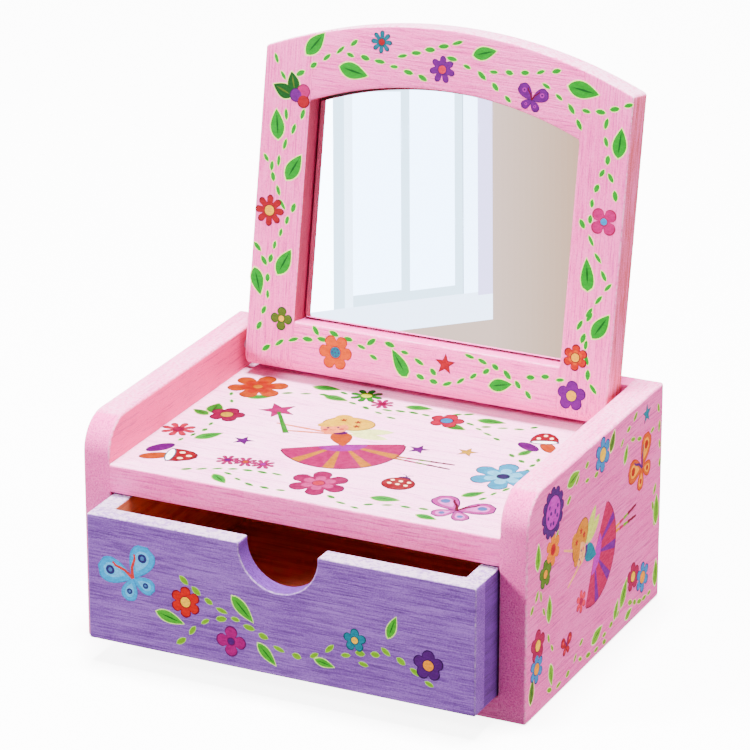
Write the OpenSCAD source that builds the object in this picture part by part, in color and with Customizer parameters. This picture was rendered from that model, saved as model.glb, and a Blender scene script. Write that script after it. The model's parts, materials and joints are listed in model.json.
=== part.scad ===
// Painted wooden trinket box with a drawer and a hinged, arch-topped mirror.
// X is the width, Y runs from the front to the back, Z is up. Millimetres.
// Casing sizes are taken from its own front face (y = 0) and underside (z = 0).
// place() then moves everything so that the origin is the middle of the footprint.

/* [Casing] */
// Overall width across the two side boards
body_w = 150; // [120:1:200]
// Depth of the side boards, front to back
body_d = 105.8; // [90:0.2:140]
// Height of the side boards
body_h = 73.3; // [60:0.1:100]
// Thickness of the side boards
side_t = 9.3; // [8:0.1:12]
// Thickness of the deck, the board above the drawer
deck_t = 9.4; // [8:0.1:12]
// Thickness of the base board
base_t = 7.5; // [6.5:0.1:12]
// Thickness of the back panel
back_t = 6.7; // [5:0.1:10]
// Radius of the rounded front top corner of each side
rim_r = 11.3; // [4:0.1:13]

/* [Drawer] */
// How far the drawer stands out in the rest pose
drawer_out = 15.7; // [0:0.1:40]
// Thickness of the drawer front
drawer_front_t = 6.6; // [5:0.1:9]
// Thickness of the drawer sides and back
drawer_side_t = 6.3; // [5:0.1:9]
// Thickness of the drawer bottom
drawer_bottom_t = 2.4; // [2:0.1:4]
// Height of the drawer bottom above the lower edge of the drawer sides
drawer_bottom_up = 2.2; // [1.5:0.1:4]
// Play between the drawer and each side board
drawer_play = 0.35; // [0.3:0.05:1]
// Gap between the drawer and the base board
drawer_under = 0.3; // [0.3:0.05:1]
// Gap between the drawer and the deck
drawer_over = 0.7; // [0.4:0.05:2]
// Gap between the closed drawer and the back panel
drawer_behind = 0.5; // [0.3:0.1:3]
// Depth of the grooves that hold the drawer bottom
groove_d = 2.5; // [1.5:0.1:3.5]
// Radius of the finger notch
notch_r = 13.3; // [9:0.1:16]
// Height of the straight part above the notch's half round
notch_lip = 1; // [0:0.1:5]

/* [Mirror frame] */
// Thickness of the mirror frame
frame_t = 11.2; // [9.5:0.1:14]
// Height of the frame's straight sides
frame_side_h = 104.5; // [80:0.5:130]
// Rise of the arched top above the straight sides
arch_rise = 12.7; // [6:0.1:20]
// Gap between the frame and each side board
frame_gap = 2.35; // [1:0.05:5]
// Width of each upright of the frame
stile_w = 17; // [14.5:0.1:22]
// Height of the bottom rail
bottom_rail_h = 16.8; // [14:0.1:24]
// Height of the top rail at its middle
top_rail_h = 19.5; // [15:0.1:24]
// Rise of the arched top of the mirror opening
opening_rise = 9.1; // [4:0.1:12]
// Radius of the frame's rounded lower edges
foot_r = 4.4; // [2:0.1:4.6]
// Backward lean of the open mirror from upright
lean = 10; // [4:0.5:20]
// Height of the folded frame's lower face above the deck
lid_clear = 2.4; // [1:0.1:5]
// Gap between the leaning frame and the back panel's top edge
lean_gap = 0.2; // [0.1:0.05:0.5]

/* [Mirror] */
// Thickness of the mirror glass
glass_t = 2; // [1.5:0.1:3]
// Gap all round between the glass and the frame opening
glass_gap = 0.7; // [0.3:0.1:2]
// Thickness of the backing board
backing_t = 2.4; // [2:0.1:2.8]
// How far the backing board laps over the frame behind the opening
backing_lap = 4; // [3:0.1:5]
// Depth of the rebate that takes the backing board
rebate_d = 3; // [2.9:0.1:4]

/* [Hardware] */
// Radius of the steel pivot pins
pin_r = 1.5; // [1:0.1:2]
// Radial clearance of the pivot pins in the side boards
pin_clear = 0.05; // [0.02:0.01:0.1]
// Length of each pivot pin inside the frame's upright
pin_in_stile = 10; // [6:0.5:12]
// Length of each pivot pin inside the side board
pin_in_side = 5; // [3:0.5:6]
// Radius of the wooden dowels
dowel_r = 2; // [1.5:0.1:2.2]
// Length of the wooden dowels
dowel_l = 12; // [8:0.5:14]
// Distance of the casing's dowels from the ends of the boards
dowel_inset = 20; // [10:1:30]
// Radius of the drawer's dowels
drawer_dowel_r = 1.6; // [1.2:0.1:2]
// Depth of the drawer's dowels in the drawer front
drawer_dowel_in = 4; // [3:0.1:4.5]
// Distance of the drawer's dowels and brads from its upper and lower edges
drawer_joint_inset = 10; // [7:0.5:12]
// Radius of the brads
brad_r = 0.6; // [0.4:0.05:0.8]
// Radius of the heads of the brads
brad_head_r = 1.3; // [0.9:0.1:1.6]
// Thickness of the heads of the brads
brad_head_t = 0.5; // [0.3:0.05:0.6]
// Length of the brads under their heads
brad_l = 14; // [9:0.5:18]
// Distance of the outer back brads from the side boards
brad_inset = 18; // [8:1:30]
// Length of the backing board's brads under their heads
backing_brad_l = 4.6; // [3.5:0.1:6]

/* [Hidden] */
$fn = 96;
eps = 1;  // overshoot of the cutting shapes past the faces that they cut

pink = [0.90, 0.58, 0.72];
lilac = [0.56, 0.44, 0.68];
raw_wood = [0.36, 0.14, 0.08];
steel = [0.72, 0.73, 0.75];

// Casing
inner_w = body_w - 2 * side_t;
deck_top = body_h - frame_t - lid_clear;
bay_top = deck_top - deck_t;
board_d = body_d - back_t;

// Drawer, closed position; the front face is then flush with the casing
drawer_w = inner_w - 2 * drawer_play;
drawer_z = base_t + drawer_under;
drawer_h = bay_top - drawer_over - drawer_z;
drawer_d = board_d - drawer_behind;
notch_z = drawer_h - notch_lip;

// Mirror frame, from the pivot axis: x right, y back, z up along the frame
pin_up = frame_t / 2;
frame_w = inner_w - 2 * frame_gap;
frame_top = frame_side_h + arch_rise - pin_up;
arch_r = (pow(frame_w / 2, 2) + pow(arch_rise, 2)) / (2 * arch_rise);
open_x = frame_w / 2 - stile_w;
open_low = bottom_rail_h - pin_up;
open_top = frame_top - top_rail_h;
open_r = (pow(open_x, 2) + pow(opening_rise, 2)) / (2 * opening_rise);
rebate_y = frame_t / 2 - rebate_d;

// Pivot axis in the casing: the leaning frame rests on the back panel's top edge
pivot_z = body_h - frame_t / 2;
pivot_y = board_d - (body_h - pivot_z) * tan(lean) - (frame_t / 2 + lean_gap) / cos(lean);

// Middle of the footprint: drawer front to the top back edge of the leaning frame
back_y = max(body_d, pivot_y + frame_top * sin(lean) + frame_t / 2 * cos(lean));
mid_y = (back_y - drawer_out) / 2;

// Places of the joint hardware
dowel_ys = [dowel_inset, board_d - dowel_inset];
back_brad_xs = [-inner_w / 2 + brad_inset, 0, inner_w / 2 - brad_inset];
drawer_joint_zs = [drawer_joint_inset, drawer_h - drawer_joint_inset];
// The bottom rail's dowel lies midway between the pivot pin and the mirror opening
low_dowel_z = (pin_r + open_low) / 2;
// The top rail's joint with an upright, from the opening's corner to the outer arch
top_joint_z = open_top - opening_rise;
top_joint_h = frame_top - arch_r + sqrt(pow(arch_r, 2) - pow(open_x, 2)) - top_joint_z;
top_dowel_zs = [for (k = [1, 2]) top_joint_z + top_joint_h * k / 3];

module place() translate([0, -mid_y, 0]) children();
module place_drawer() place() translate([0, -drawer_out, drawer_z]) children();
module place_frame() place() translate([0, pivot_y, pivot_z]) rotate([-lean, 0, 0]) children();

// Round bar along X, centred on x
module bar(x, y, z, r, l) translate([x - l / 2, y, z]) rotate([0, 90, 0]) cylinder(r = r, h = l);

// Round bar along Y, from y towards +Y
module bar_y(x, y, z, r, l) translate([x, y, z]) rotate([-90, 0, 0]) cylinder(r = r, h = l);

// Nail whose head's underside lies at the origin; the shank runs along +Z
module brad(l) {
    cylinder(r = brad_r, h = l);
    translate([0, 0, -brad_head_t]) cylinder(r = brad_head_r, h = brad_head_t);
}

module mirrored() {
    children();
    mirror([1, 0, 0]) children();
}

// ---- Casing ----

module deck_dowel_bars() mirrored() for (y = dowel_ys)
    bar(inner_w / 2, y, bay_top + deck_t / 2, dowel_r, dowel_l);

module base_dowel_bars() mirrored() for (y = dowel_ys)
    bar(inner_w / 2, y, base_t / 2, dowel_r, dowel_l);

module back_brad_bars() for (x = back_brad_xs, z = [base_t / 2, bay_top + deck_t / 2])
    translate([x, body_d - brad_head_t, z]) rotate([90, 0, 0]) brad(brad_l);

// Outline of a side board seen from its side: x is the depth, y the height
module side_outline() difference() {
    square([body_d, body_h]);
    difference() {
        translate([-eps, body_h - rim_r]) square([rim_r + eps, rim_r + eps]);
        translate([rim_r, body_h - rim_r]) circle(r = rim_r);
    }
}

module side_board() difference() {
    translate([inner_w / 2, 0, 0])
        rotate([90, 0, 90]) linear_extrude(height = side_t) side_outline();
    deck_dowel_bars();
    base_dowel_bars();
    // Blind hole that the pivot pin turns in
    translate([inner_w / 2 - eps, pivot_y, pivot_z]) rotate([0, 90, 0])
        cylinder(r = pin_r + pin_clear, h = pin_in_side + pin_clear + eps);
}

module left_side() color(pink) place() mirror([1, 0, 0]) side_board();
module right_side() color(pink) place() side_board();

module deck() color(pink) place() difference() {
    translate([-inner_w / 2, 0, bay_top]) cube([inner_w, board_d, deck_t]);
    deck_dowel_bars();
    back_brad_bars();
}

module base_board() color(pink) place() difference() {
    translate([-inner_w / 2, 0, 0]) cube([inner_w, board_d, base_t]);
    base_dowel_bars();
    back_brad_bars();
}

module back_panel() color(pink) place() difference() {
    translate([-inner_w / 2, board_d, 0]) cube([inner_w, back_t, body_h]);
    back_brad_bars();
}

module deck_dowels() color(raw_wood) place() deck_dowel_bars();
module base_dowels() color(raw_wood) place() base_dowel_bars();
module back_brads() color(steel) place() back_brad_bars();

// ---- Drawer: x across, y back from its front face, z up from its lower edge ----

module drawer_dowel_bars() mirrored() for (z = drawer_joint_zs)
    bar_y((drawer_w - drawer_side_t) / 2, drawer_front_t - drawer_dowel_in, z,
          drawer_dowel_r, dowel_l);

module drawer_brad_bars() mirrored() for (z = drawer_joint_zs)
    translate([drawer_w / 2 - brad_head_t, drawer_d - drawer_side_t / 2, z])
        rotate([0, -90, 0]) brad(brad_l);

// The bottom board, which is let into grooves all round
module drawer_bottom_slab() translate([
        -drawer_w / 2 + drawer_side_t - groove_d, drawer_front_t - groove_d, drawer_bottom_up])
    cube([drawer_w - 2 * (drawer_side_t - groove_d),
          drawer_d - drawer_front_t - drawer_side_t + 2 * groove_d, drawer_bottom_t]);

module drawer_side() difference() {
    translate([drawer_w / 2 - drawer_side_t, drawer_front_t, 0])
        cube([drawer_side_t, drawer_d - drawer_front_t, drawer_h]);
    drawer_bottom_slab();
    drawer_dowel_bars();
    drawer_brad_bars();
}

module drawer_front() color(lilac) place_drawer() difference() {
    translate([-drawer_w / 2, 0, 0]) cube([drawer_w, drawer_front_t, drawer_h]);
    bar_y(0, -eps, notch_z, notch_r, drawer_front_t + 2 * eps);
    translate([-notch_r, -eps, notch_z])
        cube([2 * notch_r, drawer_front_t + 2 * eps, drawer_h]);
    drawer_bottom_slab();
    drawer_dowel_bars();
}

module drawer_left_side() color(lilac) place_drawer() mirror([1, 0, 0]) drawer_side();
module drawer_right_side() color(lilac) place_drawer() drawer_side();

module drawer_back() color(lilac) place_drawer() difference() {
    translate([-drawer_w / 2 + drawer_side_t, drawer_d - drawer_side_t, 0])
        cube([drawer_w - 2 * drawer_side_t, drawer_side_t, drawer_h]);
    drawer_bottom_slab();
    drawer_brad_bars();
}

module drawer_bottom() color(raw_wood) place_drawer() drawer_bottom_slab();
module drawer_dowels() color(raw_wood) place_drawer() drawer_dowel_bars();
module drawer_back_brads() color(steel) place_drawer() drawer_brad_bars();

// ---- Mirror frame ----

// Shape with a flat foot, straight sides and an arched top: half width, foot, top, radius
module arched(x, low, top, r) intersection() {
    translate([-x, low]) square([2 * x, top - low + eps]);
    translate([0, top - r]) circle(r = r, $fn = 360);
}

module frame_outline() arched(frame_w / 2, -pin_up, frame_top, arch_r);

// The mirror opening grown (or shrunk) by d all round
module opening(d) arched(open_x + d, open_low - d, open_top + d, open_r + d);

// Upright slab from y0 to y1, made from a shape drawn in x and z
module slab(y0, y1) translate([0, y1, 0]) rotate([90, 0, 0])
    linear_extrude(height = y1 - y0) children();

module frame_dowel_bars() mirrored() {
    bar(open_x, 0, low_dowel_z, dowel_r, dowel_l);
    for (z = top_dowel_zs) bar(open_x, 0, z, dowel_r, dowel_l);
}

// Straight shanks along Y at the middle of the backing board's lap
module backing_brad_bars() {
    x = open_x + backing_lap / 2;
    z_low = open_low - backing_lap / 2;
    z_top = open_top + backing_lap / 2;
    for (p = [[-x, 0.25 * z_top], [-x, 0.75 * z_top], [x, 0.25 * z_top], [x, 0.75 * z_top],
              [-x / 2, z_low], [x / 2, z_low], [0, z_top]])
        translate([p[0], rebate_y + backing_t, p[1]]) rotate([90, 0, 0])
            brad(backing_brad_l);
}

// Bar that rounds off the frame's lower edge at the front (s = -1) or the back (s = 1)
module edge_cutter(s) difference() {
    translate([-frame_w, s > 0 ? frame_t / 2 - foot_r : -frame_t / 2 - eps, -pin_up - eps])
        cube([2 * frame_w, foot_r + eps, foot_r + eps]);
    bar(0, s * (frame_t / 2 - foot_r), -pin_up + foot_r, foot_r, 3 * frame_w);
}

// Everything that is taken out of the frame's four pieces
module frame_cuts() {
    slab(rebate_y, frame_t) opening(backing_lap);
    edge_cutter(-1);
    edge_cutter(1);
    frame_dowel_bars();
    backing_brad_bars();
}

module pivot_pin() bar(frame_w / 2 + (frame_gap + pin_in_side - pin_in_stile) / 2, 0, 0,
                       pin_r, frame_gap + pin_in_side + pin_in_stile);

module stile() difference() {
    slab(-frame_t / 2, frame_t / 2) intersection() {
        frame_outline();
        translate([open_x, -frame_t]) square([stile_w + eps, 2 * frame_side_h]);
    }
    frame_cuts();
    pivot_pin();
}

module frame_left_stile() color(pink) place_frame() mirror([1, 0, 0]) stile();
module frame_right_stile() color(pink) place_frame() stile();

module frame_top_rail() color(pink) place_frame() difference() {
    slab(-frame_t / 2, frame_t / 2) difference() {
        intersection() {
            frame_outline();
            translate([-open_x, open_top / 2]) square([2 * open_x, open_top]);
        }
        opening(0);
    }
    frame_cuts();
}

module frame_bottom_rail() color(pink) place_frame() difference() {
    slab(-frame_t / 2, frame_t / 2)
        translate([-open_x, -pin_up]) square([2 * open_x, bottom_rail_h]);
    frame_cuts();
}

module frame_dowels() color(raw_wood) place_frame() frame_dowel_bars();

module mirror_glass() color("aliceblue") place_frame()
    slab(rebate_y - glass_t, rebate_y) opening(-glass_gap);

module mirror_backing() color(raw_wood) place_frame() difference() {
    slab(rebate_y, rebate_y + backing_t) opening(backing_lap);
    backing_brad_bars();
}

module backing_brads() color(steel) place_frame() backing_brad_bars();
module left_pivot_pin() color(steel) place_frame() mirror([1, 0, 0]) pivot_pin();
module right_pivot_pin() color(steel) place_frame() pivot_pin();

left_side();
right_side();
deck();
base_board();
back_panel();
deck_dowels();
base_dowels();
back_brads();
drawer_front();
drawer_left_side();
drawer_right_side();
drawer_back();
drawer_bottom();
drawer_dowels();
drawer_back_brads();
frame_left_stile();
frame_right_stile();
frame_top_rail();
frame_bottom_rail();
frame_dowels();
mirror_glass();
mirror_backing();
backing_brads();
left_pivot_pin();
right_pivot_pin();
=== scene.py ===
"""Looks of a painted wooden trinket box: eased boards, brushed paint, printed flowers and a mirror.

Everything is in metres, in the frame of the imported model: X is the width, Y runs from the front
to the back, Z is up. Printed motifs are laid out in millimetres on the face that carries them.
"""

import json
import math

import bpy
import numpy as np
from bpy.props import FloatProperty, FloatVectorProperty, IntProperty, PointerProperty
from bpy.types import Operator, Panel, PropertyGroup
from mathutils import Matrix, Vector


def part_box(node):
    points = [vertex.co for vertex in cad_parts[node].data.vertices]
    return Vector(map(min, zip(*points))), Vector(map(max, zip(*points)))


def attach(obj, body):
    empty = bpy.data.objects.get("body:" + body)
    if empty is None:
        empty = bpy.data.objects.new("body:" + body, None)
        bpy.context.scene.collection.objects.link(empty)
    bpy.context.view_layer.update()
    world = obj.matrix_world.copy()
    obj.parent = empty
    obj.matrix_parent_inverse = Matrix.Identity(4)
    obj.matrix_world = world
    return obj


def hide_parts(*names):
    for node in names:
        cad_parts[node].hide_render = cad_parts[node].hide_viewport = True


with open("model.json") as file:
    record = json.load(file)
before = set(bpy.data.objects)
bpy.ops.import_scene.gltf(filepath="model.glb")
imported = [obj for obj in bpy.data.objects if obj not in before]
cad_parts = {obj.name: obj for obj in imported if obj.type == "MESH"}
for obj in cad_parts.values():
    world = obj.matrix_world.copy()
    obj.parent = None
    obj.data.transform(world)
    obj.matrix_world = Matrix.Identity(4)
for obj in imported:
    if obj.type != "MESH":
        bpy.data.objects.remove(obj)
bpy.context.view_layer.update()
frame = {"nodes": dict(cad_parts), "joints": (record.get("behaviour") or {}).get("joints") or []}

bl_info = {
    "name": "Painted trinket box",
    "version": (1, 0, 0),
    "blender": (4, 5, 0),
    "location": "View3D > Sidebar > Trinket box",
    "description": "Builds the eased boards, brushed paint, printed flowers and mirror of a trinket box",
    "category": "Object",
}

MM = 0.001
FILLET_STEPS = 3
SHARP_ANGLE = math.radians(35)
TINY = 1e-9
COAT = 0.06 * MM  # paint kept off the faces that carry flush nail heads
# Eased edges are painted paler: partly wear, partly painted highlight.
SHOWN_WEAR_AND_SHEEN = 0.2 * MM  # edges eased less than this show no wear
SLIVER = 0.01 * MM  # hairline strip of grid beside a cut
RAMP = 0.8 * MM  # length over which an eased edge fades into a sharp one
ARCH_MARGIN = 1.5 * MM  # part below an arched top that is lifted as a whole
CORNER_LAP = 1.08  # the rebate is this much wider under the top rail
FILM_SINK = 0.05 * MM  # how far a printed film reaches below the paint
STAGGER = 0.03  # share of a layer that keeps overlapping films of one layer apart
STAGGERS = 20  # films after which the stagger starts again


def span(node):
    """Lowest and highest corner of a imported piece, as arrays."""
    low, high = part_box(node)
    return np.array(low), np.array(high)


def hinge_axis():
    """The point on the mirror frame's pivot axis at the middle of the box."""
    joint = next(j for j in frame["joints"] if j["name"] == "mirror_hinge")
    return np.array(joint["pos_m"])


# ---- Sizes and colours that a maker would change ----


def size(name, metres, description, least=0.0):
    """A length property with its unit."""
    return FloatProperty(
        name=name, description=description, default=metres, min=least, subtype="DISTANCE", unit="LENGTH"
    )


def colour(name, rgb, description):
    """A colour property, in linear light."""
    return FloatVectorProperty(
        name=name, description=description, default=rgb, size=3, min=0, max=1, subtype="COLOR"
    )


def number(name, value, description, unit="NONE"):
    """A plain number property."""
    return FloatProperty(name=name, description=description, default=value, unit=unit)


def angle(name, degrees, description):
    """An angle property."""
    return FloatProperty(
        name=name, description=description, default=math.radians(degrees), subtype="ANGLE", unit="ROTATION"
    )


class TrinketBoxSizes(PropertyGroup):
    """Sizes of the eased boards and of the printed film."""

    edge: size("Eased edge", 0.8 * MM, "Radius that the sandpaper leaves on a free edge")
    drawer_edge: size("Drawer edge", 0.5 * MM, "Radius of the drawer's free edges")
    seam: size("Seam", 0.04 * MM, "Half width of the hairline where two boards meet", 0.001 * MM)
    rim: size("Rim corner", 11.3 * MM, "Radius of the front top corner of each side")
    notch: size("Finger notch", 13.3 * MM, "Radius of the finger notch in the drawer front")
    notch_lip: size("Notch lip", 1.0 * MM, "Straight part above the half round of the notch")
    frame_depth: size("Frame thickness", 11.2 * MM, "Thickness of the mirror frame")
    foot: size("Frame foot", 4.4 * MM, "Radius of the frame's rounded lower edges")
    arch_rise: size("Arch rise", 12.7 * MM, "Rise of the frame's arched top")
    opening_rise: size("Opening rise", 9.1 * MM, "Rise of the arched top of the mirror opening")
    rebate: size("Rebate", 3.0 * MM, "Depth of the rebate behind the opening")
    lap: size("Lap", 4.0 * MM, "Width of the rebate round the opening")
    glass_gap: size("Glass gap", 0.7 * MM, "Gap between the glass and the opening")
    glass_depth: size("Glass thickness", 2.0 * MM, "Thickness of the mirror glass")
    ground_edge: size("Ground edge", 0.35 * MM, "Bevel ground on the edge of the glass")
    film_room: size("Room for print", 0.12 * MM, "Paint thickness kept free for the printed film")
    lean: angle("Lean", 10, "Backward lean of the open mirror")


class TrinketBoxColours(PropertyGroup):
    """Colours of paint, wood and metal, in linear light. Some are darker or paler copies of one paint that
    stand for painted shade and painted highlight.
    """

    pink: colour("Pink", (0.85, 0.06, 0.37), "Pink paint")
    pink_thin: colour("Thin pink", (0.92, 0.15, 0.47), "Pink paint where the brush left it thin")
    # Darker pink on the inner faces of the two side boards, inside the rims and round the drawer bay:
    # painted shade.
    pink_shade: colour("Shaded pink", (0.78, 0.03, 0.21), "Pink darkened inside the rims as painted shade")
    # Dark pink on the faces that look into the mirror opening: painted shade.
    pink_opening_shade: colour("Shaded opening pink", (0.36, 0.02, 0.075), "Pink darkened inside the mirror opening as painted shade")
    # Paler pink on the deck's top face: a painted highlight of the strong top light.
    pink_lit_top: colour("Lit top pink", (0.93, 0.32, 0.66), "Paler pink on the deck's top face as painted highlight of the top light")
    # Darker, warmer pink on the frame's outer sides, and worn colour of the opening's walls: painted shade
    # with a painted warm reflection.
    pink_side_shade: colour("Salmon", (0.6, 0.045, 0.055), "Pink darkened and warmed on the frame's outer sides as painted shade and warm reflection")
    # Paler pink on the eased edges and lit tops: partly wear, partly painted highlight.
    pink_worn_and_lit: colour("Worn and lit pink", (0.94, 0.5, 0.72), "Pink paint worn on the edges and paler as painted highlight")
    lilac: colour("Lilac", (0.132, 0.032, 0.27), "Lilac paint")
    lilac_thin: colour("Thin lilac", (0.25, 0.092, 0.44), "Lilac paint where the brush left it thin")
    # Darker lilac on the drawer's outer sides and on the walls of the finger notch: painted shade.
    lilac_shade: colour("Shaded lilac", (0.07, 0.018, 0.15), "Lilac darkened on the drawer's outer sides and notch as painted shade")
    # Paler lilac on the eased edges and lit tops: partly wear, partly painted highlight.
    lilac_worn_and_lit: colour("Worn and lit lilac", (0.5, 0.36, 0.52), "Lilac paint worn on the edges and paler as painted highlight")
    stain: colour("Stain", (0.6, 0.17, 0.085), "Red-brown stain inside the drawer")
    stain_dark: colour("Dark stain", (0.42, 0.08, 0.035), "Grain of the stained wood")
    wood: colour("Bare wood", (0.55, 0.36, 0.18), "Dowels")
    wood_dark: colour("Wood grain", (0.36, 0.2, 0.09), "Grain of the dowels")
    board: colour("Hardboard", (0.2, 0.105, 0.05), "Backing board")
    board_dark: colour("Hardboard fibres", (0.11, 0.055, 0.028), "Fibres of the backing board")
    steel: colour("Steel", (0.56, 0.57, 0.6), "Pins and brads")
    silver: colour("Silvering", (0.94, 0.96, 0.965), "Reflecting face of the glass")


class TrinketBoxStage(PropertyGroup):
    """Camera, lights and floor."""

    azimuth: angle("Azimuth", 25.63, "Camera's turn to the right")
    elevation: angle("Elevation", 21.41, "Camera's height angle")
    distance: size("Distance", 1.3323, "From the camera to the point it looks at")
    lens: number("Lens", 204.66, "Focal length", "CAMERA")
    look_at: FloatVectorProperty(
        name="Look at", description="Point in the middle of the view",
        default=(-0.0045, 0.0107, 0.0779), subtype="XYZ", unit="LENGTH",
    )
    top_power: number("Top light", 400, "Power", "POWER")
    key_power: number("Key light", 66, "Power", "POWER")
    side_power: number("Side light", 24, "Power", "POWER")
    sky: number("Sky", 0.6, "Strength of the pale surroundings")
    floor_glow: number("Floor glow", 6.0, "Light that the backdrop gives off")
    floor_shade: number("Floor", 0.93, "Lightness of the floor")


class TrinketBoxPrint(PropertyGroup):
    """How the printed flowers are drawn."""

    dash_length: size("Dash", 3.3 * MM, "Length of one dash of a tendril")
    dash_width: size("Dash width", 1.35 * MM, "Width of one dash of a tendril")
    outline: size("Outline", 0.32 * MM, "Pale line round every leaf and dash")
    layer: size("Layer", 0.010 * MM, "Thickness of one layer of print")
    petal_points: IntProperty(
        name="Points", description="Points round a printed flower", default=48, min=12
    )


def settings():
    """The four groups of settings, by short name."""
    scene = bpy.context.scene
    return scene.trinket_sizes, scene.trinket_colours, scene.trinket_print, scene.trinket_stage


# ---- Surfaces ----


def grid_quads(rows, columns, flip=False):
    """Four-sided faces of a grid whose points are numbered row by row."""
    row, column = np.meshgrid(np.arange(rows - 1), np.arange(columns - 1), indexing="ij")
    corner = (row * columns + column).ravel()
    quads = np.stack([corner, corner + columns, corner + columns + 1, corner + 1], 1)
    return quads[:, ::-1] if flip else quads


def eased_lines(low, high, soft_low, soft_high, between=()):
    """Grid lines from one face to the other: over each eased edge they lie at 1 - tan(angle), so
    that the eased edge turns by equal angles from line to line."""
    tangents = np.tan(np.linspace(math.pi / 4, 0, FILLET_STEPS + 1))
    lines = np.concatenate([low + soft_low * (1 - tangents), high - soft_high * (1 - tangents), between])
    lines = np.unique(np.round(lines, 9))
    return lines[(lines >= low - TINY) & (lines <= high + TINY)]


def box_grid(lines):
    """Points and faces of a closed box whose six faces carry the given grid lines."""
    sheets, faces, start = [], [], 0
    for axis in range(3):
        across, along = (axis + 1) % 3, (axis + 2) % 3
        grid = np.meshgrid(lines[across], lines[along], indexing="ij")
        for end in (0, -1):
            sheet = np.empty(grid[0].shape + (3,))
            sheet[..., axis] = lines[axis][end]
            sheet[..., across], sheet[..., along] = grid
            sheets.append(sheet.reshape(-1, 3))
            faces.append(start + grid_quads(*grid[0].shape, flip=end == 0))
            start += len(sheets[-1])
    points = np.concatenate(sheets)
    key = np.round(points * 1e9).astype(np.int64)
    first, place = np.unique(key, axis=0, return_index=True, return_inverse=True)[1:]
    return points[first], place.reshape(-1)[np.concatenate(faces)]


def ease(points, low, high, soft):
    """Rounds a box: each point is clamped to the core left inside the easing radii, and its offset
    from the core, measured in radii, is cut to length one. soft holds a pair of radii for each
    axis, at the low and the high face. Also gives how far each point is into an eased edge."""
    count = len(points)
    soft_low = np.stack([np.broadcast_to(pair[0], count) for pair in soft], 1)
    soft_high = np.stack([np.broadcast_to(pair[1], count) for pair in soft], 1)
    core = np.clip(points, low + soft_low, high - soft_high)
    offset = points - core
    radius = np.where(offset < 0, soft_low, soft_high)
    turn = offset / radius
    length = np.linalg.norm(turn, axis=1)
    eased = core + turn / np.maximum(length, 1)[:, None] * radius
    smallest = np.where(np.abs(turn) > 1e-6, radius, 1).min(1)
    # How far a point lies into an eased edge: this drives the paler edge paint, partly wear and partly
    # painted highlight.
    wear_and_sheen = np.clip((length - 1) / (math.sqrt(2) - 1), 0, 1) * (smallest > SHOWN_WEAR_AND_SHEEN)
    return eased, wear_and_sheen


def board(low, high, soft, between=((), (), ())):
    """The grid of a straight board, close together where its edges are eased: points and faces."""
    return box_grid([
        eased_lines(low[a], high[a], np.max(soft[a][0]), np.max(soft[a][1]), between[a]) for a in range(3)
    ])


def plain_board(node, soft, thinner=((0, 0, 0), (0, 0, 0))):
    """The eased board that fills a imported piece's box, or lies thinner paint layers inside it so
    that flush nail heads stand clear of the paint."""
    low, high = span(node)
    low = low + np.array(thinner[0]) * COAT
    high = high - np.array(thinner[1]) * COAT
    raw, faces = board(low, high, soft)
    points, wear_and_sheen = ease(raw, low, high, soft)
    return points, faces.tolist(), wear_and_sheen


def rounded_outline(corners, step=1.5 * MM):
    """Anticlockwise outline through (x, y, radius) corners, each turned by an arc of its radius,
    with the straight stretches divided into steps. A corner with no radius stays a point."""
    pieces = []
    places = np.array([c[:2] for c in corners], float)
    for i, (_, _, radius) in enumerate(corners):
        here = places[i]
        if radius == 0:
            pieces.append(here[None])
            continue
        back = places[i - 1] - here
        ahead = places[(i + 1) % len(corners)] - here
        back, ahead = back / np.linalg.norm(back), ahead / np.linalg.norm(ahead)
        half = math.acos(np.clip(back @ ahead, -1, 1)) / 2
        centre = here + (back + ahead) / np.linalg.norm(back + ahead) * radius / math.sin(half)
        start = here + back * radius / math.tan(half) - centre
        turn = math.copysign(math.pi - 2 * half, back[1] * ahead[0] - back[0] * ahead[1])
        angle = np.linspace(0, turn, max(4, int(radius / MM) + 4))[:, None]
        swing = np.array([-start[1], start[0]])
        pieces.append(centre + start * np.cos(angle) + swing * np.sin(angle))
    points = np.concatenate(pieces)
    ahead = np.roll(points, -1, 0)
    counts = np.maximum(1, (np.linalg.norm(ahead - points, axis=1) / step).astype(int))
    share = np.concatenate([np.arange(n) / n for n in counts])[:, None]
    return np.repeat(points, counts, 0) * (1 - share) + np.repeat(ahead, counts, 0) * share


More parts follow.
